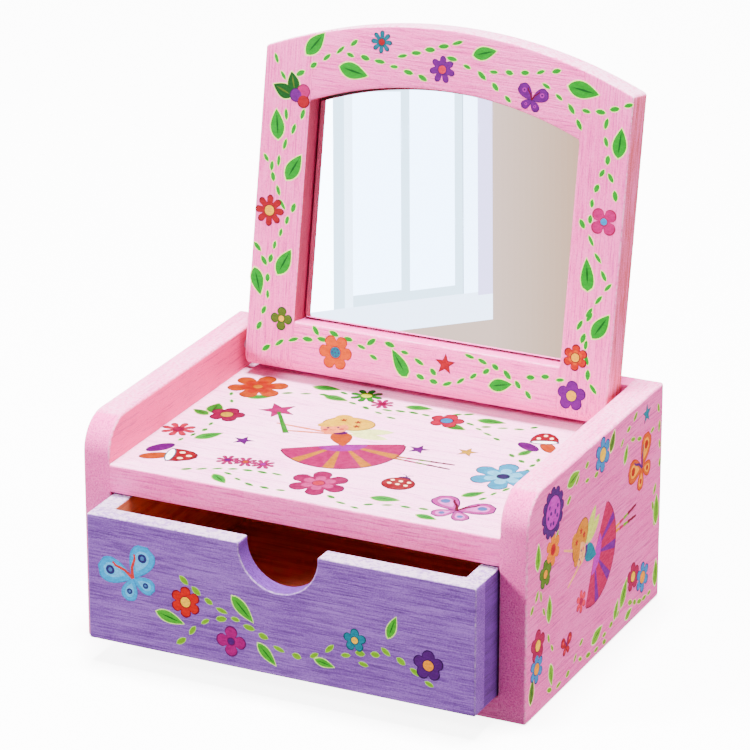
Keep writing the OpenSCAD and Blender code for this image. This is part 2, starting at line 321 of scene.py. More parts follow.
def slab(outline, depth, soft_front, soft_back, steps=5, support=0.05 * MM):
    """A flat outline given a thickness along its own w axis, with a quarter round on both faces.
    The rings of the quarter round are the outline drawn in by r (1 - sin a) at the depth
    r (1 - cos a), with a from 0 to 90 degrees. Each face is one polygon inside a narrow ring."""
    before = outline - np.roll(outline, 1, 0)
    normal = np.stack([before[:, 1], -before[:, 0]], 1)
    normal /= np.linalg.norm(normal, axis=1)[:, None]
    after = np.roll(normal, -1, 0)
    inward = -(normal + after) / (1 + (normal * after).sum(1))[:, None]
    angles = np.linspace(0, math.pi / 2, steps)
    rings, wear_and_sheen = [], []

    def add_ring(inset, level, edge_wear_and_sheen):
        flat = outline + inward * np.asarray(inset)[..., None] * np.ones((len(outline), 1))
        rings.append(np.column_stack([flat, np.broadcast_to(level, len(outline))]))
        wear_and_sheen.append(np.broadcast_to(edge_wear_and_sheen, len(outline)))

    add_ring(soft_front + support, 0.0, 0.0)
    for a in angles:
        add_ring(soft_front * (1 - math.sin(a)), soft_front * (1 - math.cos(a)),
                 math.sin(2 * a) * (soft_front > SHOWN_WEAR_AND_SHEEN))
    for a in angles[::-1]:
        add_ring(soft_back * (1 - math.sin(a)), depth - soft_back * (1 - math.cos(a)),
                 math.sin(2 * a) * (soft_back > SHOWN_WEAR_AND_SHEEN))
    add_ring(soft_back + support, depth, 0.0)
    count, last = len(outline), (len(rings) - 1) * len(outline)
    index = np.arange(count)
    ahead = (index + 1) % count
    walls = [
        np.stack([r * count + index, r * count + ahead, (r + 1) * count + ahead, (r + 1) * count + index], 1)
        for r in range(len(rings) - 1)
    ]
    faces = np.concatenate(walls).tolist() + [index[::-1].tolist(), (last + index).tolist()]
    return np.concatenate(rings), faces, np.concatenate(wear_and_sheen)


def lit_top(points, wear_and_sheen, amount, margin=0.3 * MM):
    """Paler paint, given through the wear mask, on everything that lies close to the top of a level piece: a
    painted highlight where the top light falls.
    """
    return np.where(points[:, 2] > points[:, 2].max() - margin, amount, wear_and_sheen)


def add_piece(
    name, points, faces, body, finishes, values=None, tints=None, choose=None, replaces=()
):
    """Puts points and faces into a mesh object at the origin and rides it on a body."""
    mesh = bpy.data.meshes.new(name)
    mesh.from_pydata(np.asarray(points).tolist(), [], faces)
    mesh.update()
    if values is not None:
        mesh.attributes.new("edge", "FLOAT", "POINT").data.foreach_set("value", values.astype(np.float32))
    if tints is not None:
        flat = np.column_stack([tints, np.ones(len(tints))]).astype(np.float32).ravel()
        mesh.attributes.new("tint", "FLOAT_COLOR", "POINT").data.foreach_set("color", flat)
    for finish in finishes:
        mesh.materials.append(finish)
    if choose is not None:
        facing = np.zeros(len(mesh.polygons) * 3, np.float32)
        middles = np.zeros(len(mesh.polygons) * 3, np.float32)
        mesh.polygons.foreach_get("normal", facing)
        mesh.polygons.foreach_get("center", middles)
        picked = choose(facing.reshape(-1, 3), middles.reshape(-1, 3)).astype(np.int32)
        mesh.polygons.foreach_set("material_index", picked)
    mesh.shade_smooth()
    mesh.set_sharp_from_angle(angle=SHARP_ANGLE)
    mesh.validate()
    piece = bpy.data.objects.new(name, mesh)
    bpy.context.scene.collection.objects.link(piece)
    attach(piece, body)
    if replaces:
        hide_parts(*replaces)
    return piece


def facing(axis, sign, least=0.9, finish_index=1):
    """Picks another finish for the faces that look along an axis."""

    def choose(normals, middles):
        return finish_index * (normals[:, axis] * sign > least)

    return choose


def inside_and_outside(sign):
    """Picks the second finish for faces that look along x by sign, the third for the opposite ones."""

    def choose(normals, middles):
        across = normals[:, 0] * sign
        return (across > 0.9) + 2 * (across < -0.9)

    return choose


# ---- Finishes ----


def new_group(name, inputs, outputs):
    """A shader node group with the given sockets, as (name, kind, default) and (name, kind)."""
    group = bpy.data.node_groups.new(name, "ShaderNodeTree")
    for label, kind, default in inputs:
        socket = group.interface.new_socket(label, in_out="INPUT", socket_type="NodeSocket" + kind)
        if default is not None:
            socket.default_value = default
    for label, kind in outputs:
        group.interface.new_socket(label, in_out="OUTPUT", socket_type="NodeSocket" + kind)
    return group, group.nodes.new("NodeGroupInput").outputs, group.nodes.new("NodeGroupOutput").inputs


def connect(tree, socket, value):
    """Links a socket's source, or sets a plain number, vector or colour."""
    if isinstance(value, bpy.types.NodeSocket):
        tree.links.new(value, socket)
    else:
        socket.default_value = value


def maths(tree, operation, first, second=0.0, clamp=False):
    """One Math node."""
    node = tree.nodes.new("ShaderNodeMath")
    node.operation = operation
    node.use_clamp = clamp
    connect(tree, node.inputs[0], first)
    connect(tree, node.inputs[1], second)
    return node.outputs[0]


def noise(tree, place, scale, detail=2.0, roughness=0.5):
    """The value of one Noise Texture."""
    node = tree.nodes.new("ShaderNodeTexNoise")
    connect(tree, node.inputs["Vector"], place)
    node.inputs["Scale"].default_value = scale
    node.inputs["Detail"].default_value = detail
    node.inputs["Roughness"].default_value = roughness
    return node.outputs["Fac"]


def stretched(tree, place, scale):
    """A place multiplied axis by axis."""
    node = tree.nodes.new("ShaderNodeVectorMath")
    node.operation = "MULTIPLY"
    connect(tree, node.inputs[0], place)
    connect(tree, node.inputs[1], scale)
    return node.outputs[0]


def ranged(tree, value, low, high, out_low=0.0, out_high=1.0):
    """A value moved smoothly from one range to another."""
    node = tree.nodes.new("ShaderNodeMapRange")
    node.interpolation_type = "SMOOTHSTEP"
    connect(tree, node.inputs["Value"], value)
    for label, number in (("From Min", low), ("From Max", high), ("To Min", out_low), ("To Max", out_high)):
        node.inputs[label].default_value = number
    return node.outputs[0]


def blended(tree, share, first, second, mode="MIX"):
    """Two colours mixed."""
    node = tree.nodes.new("ShaderNodeMix")
    node.data_type = "RGBA"
    node.blend_type = mode
    connect(tree, node.inputs["Factor"], share)
    connect(tree, node.inputs["A"], first)
    connect(tree, node.inputs["B"], second)
    return node.outputs["Result"]


def brushed_paint_group():
    """Brush lines along the first axis, a fine stipple, cloudy cover, and paler paint on the edges that is
    partly wear and partly painted highlight.
    """
    group, given, made = new_group(
        "brushed_paint",
        [("Place", "Vector", None), ("Paint", "Color", (1, 1, 1, 1)), ("Thin paint", "Color", (1, 1, 1, 1)),
         ("Worn paint", "Color", (1, 1, 1, 1)), ("Edge", "Float", 0.0), ("Strokes", "Float", 0.5)],
        [("Colour", "Color"), ("Roughness", "Float"), ("Height", "Float")],
    )
    place = given["Place"]
    lines = noise(group, stretched(group, place, (80.0, 2000.0, 2000.0)), 1.0, 5.0, 0.72)
    stipple = noise(group, place, 2100.0, 2.0, 0.6)
    clouds = noise(group, stretched(group, place, (1.0, 2.2, 2.2)), 45.0, 3.0)
    streak = ranged(group, lines, 0.4, 0.66)
    cover = maths(group, "MULTIPLY", streak, given["Strokes"])
    speck = maths(group, "MULTIPLY", ranged(group, stipple, 0.45, 0.68), 0.4)
    patchy = ranged(group, clouds, 0.35, 0.75, -0.12, 0.2)
    thin = maths(group, "ADD", maths(group, "ADD", cover, speck), patchy, True)
    covered = blended(group, thin, given["Paint"], given["Thin paint"])
    deep = ranged(group, lines, 0.34, 0.48, 0.8, 0.0)
    pits = ranged(group, stipple, 0.3, 0.45, 0.45, 0.0)
    furrow = maths(group, "ADD", deep, pits, True)
    painted = blended(group, furrow, covered, (0.55, 0.5, 0.55, 1), "MULTIPLY")
    # Paler paint on the edges, broken up by chips and cloud: partly wear, partly painted highlight.
    chips = ranged(group, noise(group, place, 900.0, 4.0, 0.7), 0.4, 0.62)
    edge_rub_and_sheen = maths(group, "MULTIPLY", given["Edge"], ranged(group, clouds, 0.3, 0.62, 0.55, 1.0))
    edge_wear_and_sheen = maths(group, "MULTIPLY", edge_rub_and_sheen, maths(group, "ADD", chips, 0.25), True)
    connect(group, made["Colour"], blended(group, edge_wear_and_sheen, painted, given["Worn paint"]))
    connect(group, made["Roughness"], ranged(group, lines, 0.3, 0.7, 0.46, 0.62))
    brushed, stippled = maths(group, "MULTIPLY", lines, 1.2), maths(group, "MULTIPLY", stipple, 0.6)
    connect(group, made["Height"], maths(group, "ADD", brushed, stippled))
    return group


def printed_ink_group():
    """Printed colour with soft brush streaks and a fine paper grain in it."""
    group, given, made = new_group(
        "printed_ink",
        [("Place", "Vector", None), ("Ink", "Color", (1, 1, 1, 1))],
        [("Colour", "Color"), ("Roughness", "Float"), ("Height", "Float")],
    )
    streaks = noise(group, stretched(group, given["Place"], (500.0, 500.0, 1500.0)), 1.0, 3.0, 0.6)
    grain = noise(group, given["Place"], 2600.0, 2.0)
    shade = ranged(group, streaks, 0.35, 0.7, 0.0, 0.5)
    dark = blended(group, shade, given["Ink"], (0.5, 0.5, 0.5, 1), "MULTIPLY")
    fresh = blended(group, ranged(group, grain, 0.45, 0.7, 0.0, 0.5), dark, (1.5, 1.5, 1.5, 1), "MULTIPLY")
    connect(group, made["Colour"], fresh)
    connect(group, made["Roughness"], ranged(group, streaks, 0.3, 0.7, 0.36, 0.5))
    connect(group, made["Height"], grain)
    return group


def grained_wood_group():
    """Long grain along the first axis with darker pores, for stained and for bare wood."""
    group, given, made = new_group(
        "grained_wood",
        [("Place", "Vector", None), ("Wood", "Color", (1, 1, 1, 1)), ("Grain", "Color", (1, 1, 1, 1))],
        [("Colour", "Color"), ("Roughness", "Float"), ("Height", "Float")],
    )
    bands = noise(group, stretched(group, given["Place"], (18.0, 260.0, 260.0)), 1.0, 4.0, 0.6)
    pores = noise(group, stretched(group, given["Place"], (120.0, 3200.0, 3200.0)), 1.0, 2.0)
    broad = ranged(group, bands, 0.4, 0.66, 0.0, 0.75)
    fine = ranged(group, pores, 0.55, 0.75, 0.0, 0.5)
    mask = maths(group, "ADD", broad, fine, True)
    connect(group, made["Colour"], blended(group, mask, given["Wood"], given["Grain"]))
    connect(group, made["Roughness"], ranged(group, bands, 0.3, 0.7, 0.5, 0.7))
    connect(group, made["Height"], maths(group, "SUBTRACT", bands, maths(group, "MULTIPLY", pores, 0.5)))
    return group


GROUP_MAKERS = {
    "brushed_paint": brushed_paint_group,
    "printed_ink": printed_ink_group,
    "grained_wood": grained_wood_group,
}


def finish(name, group_name, inputs, turn=(0.0, 0.0, 0.0), bump=0.3, depth=0.15 * MM, **shader):
    """A material whose colour, roughness and bump come from one of the shared groups. turn swings
    the pattern so that its first axis lies along the board."""
    if name in bpy.data.materials:
        return bpy.data.materials[name]
    if group_name not in bpy.data.node_groups:
        GROUP_MAKERS[group_name]()
    material = bpy.data.materials.new(name)
    material.use_nodes = True
    tree = material.node_tree
    surface = tree.nodes["Principled BSDF"]
    mapping = tree.nodes.new("ShaderNodeMapping")
    mapping.vector_type = "TEXTURE"
    mapping.inputs["Rotation"].default_value = turn
    tree.links.new(tree.nodes.new("ShaderNodeTexCoord").outputs["Object"], mapping.inputs["Vector"])
    effect = tree.nodes.new("ShaderNodeGroup")
    effect.node_tree = bpy.data.node_groups[group_name]
    tree.links.new(mapping.outputs["Vector"], effect.inputs["Place"])
    for label, value in inputs.items():
        if isinstance(value, str):
            reader = tree.nodes.new("ShaderNodeAttribute")
            reader.attribute_name = value
            value = reader.outputs["Fac" if label == "Edge" else "Color"]
        connect(tree, effect.inputs[label], value)
    tree.links.new(effect.outputs["Colour"], surface.inputs["Base Color"])
    tree.links.new(effect.outputs["Roughness"], surface.inputs["Roughness"])
    relief = tree.nodes.new("ShaderNodeBump")
    relief.inputs["Strength"].default_value = bump
    relief.inputs["Distance"].default_value = depth
    tree.links.new(effect.outputs["Height"], relief.inputs["Height"])
    tree.links.new(relief.outputs["Normal"], surface.inputs["Normal"])
    for label, value in shader.items():
        surface.inputs[label.replace("_", " ").title().replace("Ior", "IOR")].default_value = value
    return material


def opaque(rgb):
    """A colour with full alpha."""
    return (*rgb, 1.0)


ALONG = {"x": (0.0, 0.0, 0.0), "y": (0.0, 0.0, math.pi / 2), "z": (0.0, -math.pi / 2, 0.0)}


# Besides plain pink and lilac, the kinds here include darker or paler copies that stand for painted shade
# and painted highlight on particular faces.
PAINTS = {
    "pink": ("pink", "pink_thin", "pink_worn_and_lit"),
    "pink_shade": ("pink_shade", "pink_shade", "pink_worn_and_lit"),
    "pink_opening_shade": ("pink_opening_shade", "pink_opening_shade", "pink_side_shade"),
    "pink_lit_top": ("pink_lit_top", "pink_worn_and_lit", "pink_worn_and_lit"),
    "pink_side_shade": ("pink_side_shade", "pink_thin", "pink_worn_and_lit"),
    "lilac_shade": ("lilac_shade", "lilac", "lilac_worn_and_lit"),
    "lilac": ("lilac", "lilac_thin", "lilac_worn_and_lit"),
}


def paint(kind, along, lean=0.0):
    """Paint of one kind brushed along x, y or z; on the mirror frame z leans back."""
    colours = settings()[1]
    turn = (0.0, lean - math.pi / 2, math.pi / 2) if along == "z" else ALONG[along]
    base, thin, wear_and_sheen = (opaque(getattr(colours, name)) for name in PAINTS[kind])
    return finish(
        f"{kind}_paint_along_{along}" + ("_leaning" if lean else ""),
        "brushed_paint",
        {"Paint": base, "Thin paint": thin, "Worn paint": wear_and_sheen, "Edge": "edge", "Strokes": 0.85},
        turn=turn, bump=0.8, depth=0.25 * MM, specular_ior_level=0.3,
    )


def grained(name, light, dark, **more):
    """A fibrous finish in two colours."""
    return finish(name, "grained_wood", {"Wood": opaque(light), "Grain": opaque(dark)}, **more)


def stained_wood(along):
    """Red-brown stained wood."""
    colours = settings()[1]
    return grained(f"stained_wood_along_{along}", colours.stain, colours.stain_dark, turn=ALONG[along])


def bare_wood(along):
    """Unpainted dowel wood."""
    colours = settings()[1]
    return grained(f"bare_wood_along_{along}", colours.wood, colours.wood_dark, turn=ALONG[along])


def hardboard():
    """Brown fibre board behind the glass."""
    colours = settings()[1]
    return grained("hardboard", colours.board, colours.board_dark, bump=0.5)


def steel():
    """Plain drawn steel."""
    bright = settings()[1].steel
    return grained("drawn_steel", bright, [0.6 * part for part in bright], bump=0.1, metallic=1.0)


def printed_ink():
    """Ink that takes its colour from the tint of each printed shape."""
    inputs = {"Ink": "tint"}
    return finish("printed_ink", "printed_ink", inputs, bump=0.12, depth=0.05 * MM, specular_ior_level=0.08)


def mirror_glass():
    """Silvered glass with the faintest film of dust."""
    if "silvered_glass" in bpy.data.materials:
        return bpy.data.materials["silvered_glass"]
    material = bpy.data.materials.new("silvered_glass")
    material.use_nodes = True
    tree = material.node_tree
    surface = tree.nodes["Principled BSDF"]
    surface.inputs["Metallic"].default_value = 1.0
    place = tree.nodes.new("ShaderNodeTexCoord").outputs["Object"]
    dust = noise(tree, place, 60.0, 5.0, 0.7)
    silver = opaque(settings()[1].silver)
    cloudy = opaque([0.97 * part for part in silver[:3]])
    tree.links.new(blended(tree, dust, silver, cloudy), surface.inputs["Base Color"])
    tree.links.new(ranged(tree, dust, 0.45, 0.8, 0.0, 0.03), surface.inputs["Roughness"])
    return material


def dress_node(node, material):
    """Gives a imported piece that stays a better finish."""
    piece = frame["nodes"][node]
    if not piece.material_slots:
        piece.data.materials.append(material)
    for place in piece.material_slots:
        place.material = material


# ---- The mirror frame's own axes: x right, y back, z up along the frame, from the pivot axis ----


def from_frame_axes(points):
    """Points in the frame's own axes, leaned back and moved to the pivot axis."""
    lean = settings()[0].lean
    x, y, z = np.asarray(points, float).T
    turned = [x, y * math.cos(lean) + z * math.sin(lean), z * math.cos(lean) - y * math.sin(lean)]
    return hinge_axis() + np.stack(turned, 1)


def frame_sizes():
    """Half width, opening, heights and arches of the mirror frame, worked out from its packed box."""
    sizes = settings()[0]
    half = span("frame_right_stile")[1][0]
    open_x = span("frame_right_stile")[0][0]
    lift = hinge_axis()[2] - sizes.frame_depth / 2 * math.sin(sizes.lean)

    def along(node):
        return (span(node)[1][2] - lift) / math.cos(sizes.lean) - sizes.frame_depth * math.tan(sizes.lean)

    top, open_low = along("frame_top_rail"), along("frame_bottom_rail")
    glass_top = (span("mirror_glass")[1][2] - hinge_axis()[2]) / math.cos(sizes.lean)
    glass_front = sizes.frame_depth / 2 - sizes.rebate - sizes.glass_depth
    open_top = glass_top + sizes.glass_gap + glass_front * math.tan(sizes.lean)
    return {
        "half": half, "open_x": open_x, "top": top, "open_low": open_low, "open_top": open_top,
        "arch": (half**2 + sizes.arch_rise**2) / (2 * sizes.arch_rise),
        "open_arch": (open_x**2 + sizes.opening_rise**2) / (2 * sizes.opening_rise),
        "foot": -sizes.frame_depth / 2, "back": sizes.frame_depth / 2,
    }


def arch(x, top, radius):
    """Height of a round arch above x."""
    return top - radius + np.sqrt(radius**2 - np.asarray(x) ** 2)


def round_foot(points, sizes):
    """Draws the two faces together towards the foot, along a quarter circle."""
    up = np.clip(points[:, 2] + sizes.frame_depth / 2, 0, sizes.foot)
    half = sizes.frame_depth / 2 - sizes.foot + np.sqrt(sizes.foot**2 - (sizes.foot - up) ** 2)
    points[:, 1] *= half / (sizes.frame_depth / 2)
    return points


def foot_lines(sizes):
    """Heights of the grid lines over the rounded foot, at equal angles."""
    angle = np.linspace(0, math.pi / 2, 10)
    return -sizes.frame_depth / 2 + sizes.foot * (1 - np.cos(angle))


def cut_rebate(points, raw, side, inner, lap, floor, back, inside):
    """Turns the edge next to the opening inside out, which leaves a rebate: the strip of the inner
    face behind the floor becomes the floor, and the strip of the back face becomes the wall.
    side is the axis that points away from the opening, inner its value at the opening, and lap is
    signed like the direction from the opening into the wood."""
    away = (raw[:, side] - inner) / lap
    behind = (raw[:, 1] - floor) / (back - floor)
    on_inner = inside & (np.abs(away) < 1e-5) & (behind > 0)
    on_back = inside & (np.abs(raw[:, 1] - back) < 1e-8) & (away < 1) & ~on_inner
    points[on_inner, 1] = floor
    points[on_inner, side] = inner + behind[on_inner] * lap
    points[on_back, side] = inner + lap
    points[on_back, 1] = floor + away[on_back] * (back - floor)
    return points


def upright(left):
    """Right or left upright: a board whose top follows the arch and whose foot is rounded."""
    sizes = settings()[0]
    f = frame_sizes()
    rail_low = arch(f["open_x"], f["open_top"], f["open_arch"])
    low = np.array([f["open_x"], -f["back"], f["foot"]])
    high = np.array([f["half"], f["back"], arch(f["half"], f["top"], f["arch"])])
    pocket = (f["open_low"] - sizes.lap, rail_low + sizes.lap * CORNER_LAP)
    breaks = [f["open_low"], f["open_low"] + RAMP, rail_low - RAMP, rail_low,
              pocket[0], pocket[0] + SLIVER, pocket[1] - SLIVER, pocket[1]]
    floor = f["back"] - sizes.rebate
    between = (
        np.append(np.linspace(low[0], high[0], 9), [low[0] + sizes.seam, low[0] + sizes.lap]),
        np.array([floor]),
        np.concatenate([foot_lines(sizes), breaks, np.linspace(f["open_low"], rail_low, 12)]),
    )
    plain = ((sizes.edge, sizes.edge), (sizes.edge, sizes.edge), (sizes.seam, sizes.edge))
    raw, faces = board(low, high, plain, between)
    free = np.clip((raw[:, 2] - f["open_low"]) / RAMP, 0, 1) * np.clip((rail_low - raw[:, 2]) / RAMP, 0, 1)
    inner = sizes.seam + (sizes.edge - sizes.seam) * free
    points, wear_and_sheen = ease(raw, low, high, ((inner, sizes.edge), plain[1], plain[2]))
    inside = (raw[:, 2] > pocket[0] + SLIVER / 2) & (raw[:, 2] < pocket[1] - SLIVER / 2)
    points = cut_rebate(points, raw, 0, low[0], sizes.lap, floor, f["back"], inside)
    rise = arch(points[:, 0], f["top"], f["arch"]) - high[2]
    share = np.clip((raw[:, 2] - pocket[1]) / (high[2] - ARCH_MARGIN - pocket[1]), 0, 1)
    points[:, 2] += rise * share
    # Full pale paint on the upright's top face: painted highlight of the top light.
    wear_and_sheen = lit_top(raw, wear_and_sheen, 2.0)
    points = round_foot(points, sizes)
    if left:
        points[:, 0] *= -1
        faces = faces[:, ::-1]
    return from_frame_axes(points), faces.tolist(), wear_and_sheen


def top_rail():
    """Arched rail: a board whose lower and upper faces are lifted to the two arches."""
    sizes = settings()[0]
    f = frame_sizes()
    ends = f["open_x"]
    low = np.array([-ends, -f["back"], arch(ends, f["open_top"], f["open_arch"])])
    high = np.array([ends, f["back"], arch(ends, f["top"], f["arch"])])
    floor, lap = f["back"] - sizes.rebate, sizes.lap * CORNER_LAP
    soft = ((sizes.seam, sizes.seam), (sizes.edge, sizes.edge), (sizes.edge, sizes.edge))
    between = (
        np.append(np.linspace(-ends, ends, 49), [SLIVER - ends, ends - SLIVER]),
        np.array([floor]),
        np.array([low[2] + lap, (low[2] + high[2]) / 2]),
    )
    raw, faces = board(low, high, soft, between)
    points, wear_and_sheen = ease(raw, low, high, soft)
    inside = np.abs(raw[:, 0]) < ends - SLIVER / 2
    points = cut_rebate(points, raw, 2, low[2], lap, floor, f["back"], inside)
    share = np.clip((points[:, 2] - low[2] - lap) / (high[2] - ARCH_MARGIN - low[2] - lap), 0, 1)
    lower = arch(points[:, 0], f["open_top"], f["open_arch"]) - low[2]
    upper = arch(points[:, 0], f["top"], f["arch"]) - high[2]
    # Full pale paint on the rail's top face: painted highlight of the top light.
    wear_and_sheen = lit_top(raw, wear_and_sheen, 2.0)
    points[:, 2] += lower * (1 - share) + upper * share
    return from_frame_axes(points), faces.tolist(), wear_and_sheen


def bottom_rail():
    """Straight rail with the rounded foot."""
    sizes = settings()[0]
    f = frame_sizes()
    ends, floor = f["open_x"], f["back"] - sizes.rebate
    low = np.array([-ends, -f["back"], f["foot"]])
    high = np.array([ends, f["back"], f["open_low"]])
    soft = ((sizes.seam, sizes.seam), (sizes.edge, sizes.edge), (sizes.seam, sizes.edge))
    between = (np.array([SLIVER - ends, 0.0, ends - SLIVER]), np.array([floor]),
               np.append(foot_lines(sizes), high[2] - sizes.lap))
    raw, faces = board(low, high, soft, between)
    points, wear_and_sheen = ease(raw, low, high, soft)
    inside = np.abs(raw[:, 0]) < ends - SLIVER / 2
    points = cut_rebate(points, raw, 2, high[2], -sizes.lap, floor, f["back"], inside)
    return from_frame_axes(round_foot(points, sizes)), faces.tolist(), wear_and_sheen


def glass_pane():
    """The mirror: an arched slab with a ground edge."""
    sizes = settings()[0]
    f = frame_sizes()
    gap = sizes.glass_gap
    x, low = f["open_x"] - gap, f["open_low"] + gap
    sweep = np.linspace(x, -x, 49)
    crown = np.stack([sweep, arch(sweep, f["open_top"] - gap, f["open_arch"] - gap)], 1)
    corners = [(-x, low, 1.0 * MM), (x, low, 1.0 * MM)] + [(*point, 0) for point in crown]
    outline = rounded_outline(corners, 4 * MM)
    ground = np.full(len(outline), sizes.ground_edge)
    points, faces, wear_and_sheen = slab(outline, sizes.glass_depth, ground, ground, steps=3)
    front = f["back"] - sizes.rebate - sizes.glass_depth
    local = np.stack([points[:, 0], front + points[:, 2], points[:, 1]], 1)
    return from_frame_axes(local), [face[::-1] for face in faces], wear_and_sheen


# ---- Casing and drawer boards ----


def side_board(left):
    """A side board: its outline has the big rim corner, its outer face is eased all round, and its
    inner face is eased only where no other board meets it."""
    sizes = settings()[0]
    low, high = span("right_side")
    deck_low, deck_high = span("deck")
    base_top = span("base_board")[1][2]
    depth, height = high[1] - low[1], high[2]
    corner = sizes.edge + 0.1 * MM
    outline = rounded_outline(
        [(0, 0, corner), (depth, 0, corner), (depth, height, corner), (0, height, sizes.rim)]
    )
    y, z = outline.T

    def above(value, start):
        return np.clip((value - start) / RAMP, 0, 1)

    bay = above(z, base_top) * above(-z, -deck_low[2])
    rim = above(z, deck_high[2])
    free = np.clip(bay + rim, 0, 1) * above(-y, -(deck_high[1] - low[1]))
    inner = sizes.seam + (sizes.edge - sizes.seam) * free
    outer = np.full(len(outline), sizes.edge)
    thickness = high[0] - low[0] - sizes.film_room
    points, faces, wear_and_sheen = slab(outline, thickness, inner, outer)
    placed = np.stack([low[0] + points[:, 2], low[1] + points[:, 0], points[:, 1]], 1)
    if left:
        placed[:, 0] *= -1
        faces = [face[::-1] for face in faces]
    return placed, faces, wear_and_sheen


def drawer_face():
    """The drawer front: an outline with the half-round notch, eased on every free edge."""
    sizes = settings()[0]
    low, high = span("drawer_front")
    side = span("drawer_right_side")[1][0] - span("drawer_right_side")[0][0]
    half, height = high[0], high[2] - low[2]
    corner = sizes.drawer_edge + 0.1 * MM
    middle = height - sizes.notch_lip
    angle = np.linspace(0, -math.pi, 41)
    scoop = np.stack([sizes.notch * np.cos(angle), middle + sizes.notch * np.sin(angle)], 1)
    lip = 0.7 * MM
    corners = [(-half, 0, corner), (half, 0, corner), (half, height, corner), (sizes.notch, height, lip)]
    corners += [(*point, 0) for point in scoop[1:-1]]
    corners += [(-sizes.notch, height, lip), (-half, height, corner)]
    outline = rounded_outline(corners)
    front = np.full(len(outline), sizes.drawer_edge)
    inside = np.clip((half - side - np.abs(outline[:, 0])) / MM, 0, 1)
    back = sizes.seam + (sizes.drawer_edge - sizes.seam) * inside
    thickness = high[1] - low[1] - sizes.film_room
    points, faces, wear_and_sheen = slab(outline, thickness, back, front)
    placed = np.stack([points[:, 0], high[1] - points[:, 2], low[2] + points[:, 1]], 1)
    return placed, faces, wear_and_sheen


# ---- Printed shapes: outlines in millimetres ----

GREEN = (0.003, 0.23, 0.007)
DEEP_GREEN = (0.005, 0.06, 0.007)
PALE_GREEN = (0.7, 0.85, 0.2)
LIME = (0.1, 0.24, 0.002)
OLIVE = (0.055, 0.1, 0.006)
RED = (0.26, 0.001, 0.008)
DEEP_RED = (0.1, 0.002, 0.01)
ORANGE = (0.45, 0.055, 0.001)
AMBER = (0.55, 0.17, 0.002)
YELLOW = (0.62, 0.32, 0.002)
ROSE = (0.23, 0.001, 0.04)
HOT_PINK = (0.36, 0.001, 0.11)
CORAL = (0.5, 0.008, 0.04)
VIOLET = (0.045, 0.004, 0.085)
PLUM = (0.1, 0.002, 0.14)
ORCHID = (0.3, 0.006, 0.26)
SKY = (0.003, 0.2, 0.48)
AQUA = (0.003, 0.11, 0.16)
TEAL = (0.006, 0.045, 0.06)
NAVY = (0.015, 0.012, 0.075)
CREAM = (1.9, 1.2, 0.8)
SKIN = (1.1, 0.24, 0.09)
WHITE = (2.2, 2.15, 2.2)
GRASS = (0.02, 0.32, 0.02)
FERN = (0.03, 0.22, 0.01)
STEM = (0.09, 0.2, 0.004)
BRICK = (0.3, 0.008, 0.002)
RUST = (0.3, 0.03, 0.002)
EMBER = (0.4, 0.015, 0.002)
TANGERINE = (0.4, 0.05, 0.001)
MARIGOLD = (0.5, 0.12, 0.002)
HONEY = (0.6, 0.2, 0.002)
SCARLET = (0.36, 0.008, 0.002)
POPPY = (0.34, 0.004, 0.003)
CHERRY = (0.4, 0.002, 0.03)
CERISE = (0.3, 0.001, 0.08)
FUCHSIA = (0.2, 0.001, 0.09)
MAUVE = (0.5, 0.02, 0.3)
BLUSH = (0.9, 0.16, 0.7)
PETAL_PINK = (0.55, 0.03, 0.2)
WINE = (0.12, 0.001, 0.05)
BLUE = (0.02, 0.12, 0.3)
DUSK = (0.05, 0.12, 0.4)
DEEP_SKY = (0.004, 0.3, 0.55)
PALE_SKY = (0.15, 0.6, 0.9)
STRAW = (0.95, 0.5, 0.002)
GAUZE = (1.2, 1.25, 0.4)
MOST_INK = 0.92


def ellipse(a, b, count=24):
    """Ellipse with half axes a and b."""
    angle = np.linspace(0, 2 * math.pi, count, endpoint=False)
    return np.stack([a * np.cos(angle), b * np.sin(angle)], 1)


def petals(radius, number, waist, count, fullness=0.55):
    """Flower outline: the radius swings between its full value and waist times it, once a petal."""
    angle = np.linspace(0, 2 * math.pi, count, endpoint=False)
    swing = np.abs(np.cos(number * (angle - math.pi / 2) / 2)) ** fullness
    reach = radius * (waist + (1 - waist) * swing)
    return np.stack([reach * np.cos(angle), reach * np.sin(angle)], 1)


def leaf_shape(length, width, count=9, fullness=1.0, skew=0.0):
    """Leaf: half width follows a sine between two ends on the x axis, fuller before the middle."""
    along = np.linspace(-0.5, 0.5, count)
    half = width / 2 * np.maximum(np.cos(math.pi * along), 0) ** fullness * (1 - skew * along)
    lower, upper = np.stack([along * length, -half], 1), np.stack([along * length, half], 1)
    return np.concatenate([lower, upper[-2:0:-1]])


def drop_shape(length, width, count=11):
    """Drop: round at its left end and pointed at its right end."""
    along = np.linspace(0, 1, count)
    half = width * 1.3 * np.sqrt(along) * (1 - along)
    x = (along - 0.5) * length
    return np.concatenate([np.stack([x, -half], 1), np.stack([x, half], 1)[-2:0:-1]])


def star_shape(radius, points=5, waist=0.42):
    """Star: radius alternates between its tips and its waist."""
    angle = math.pi / 2 + np.arange(2 * points) * math.pi / points
    reach = radius * np.where(np.arange(2 * points) % 2, waist, 1)
    return np.stack([reach * np.cos(angle), reach * np.sin(angle)], 1)


def fan_shape(radius, start, end, inner=0.0, count=8):
    """Part of a ring between two angles in degrees."""
    angle = np.radians(np.linspace(start, end, count))
    rim = np.stack([np.cos(angle), np.sin(angle)], 1)
    return np.concatenate([rim * radius, rim[::-1] * max(inner, 0.02)])


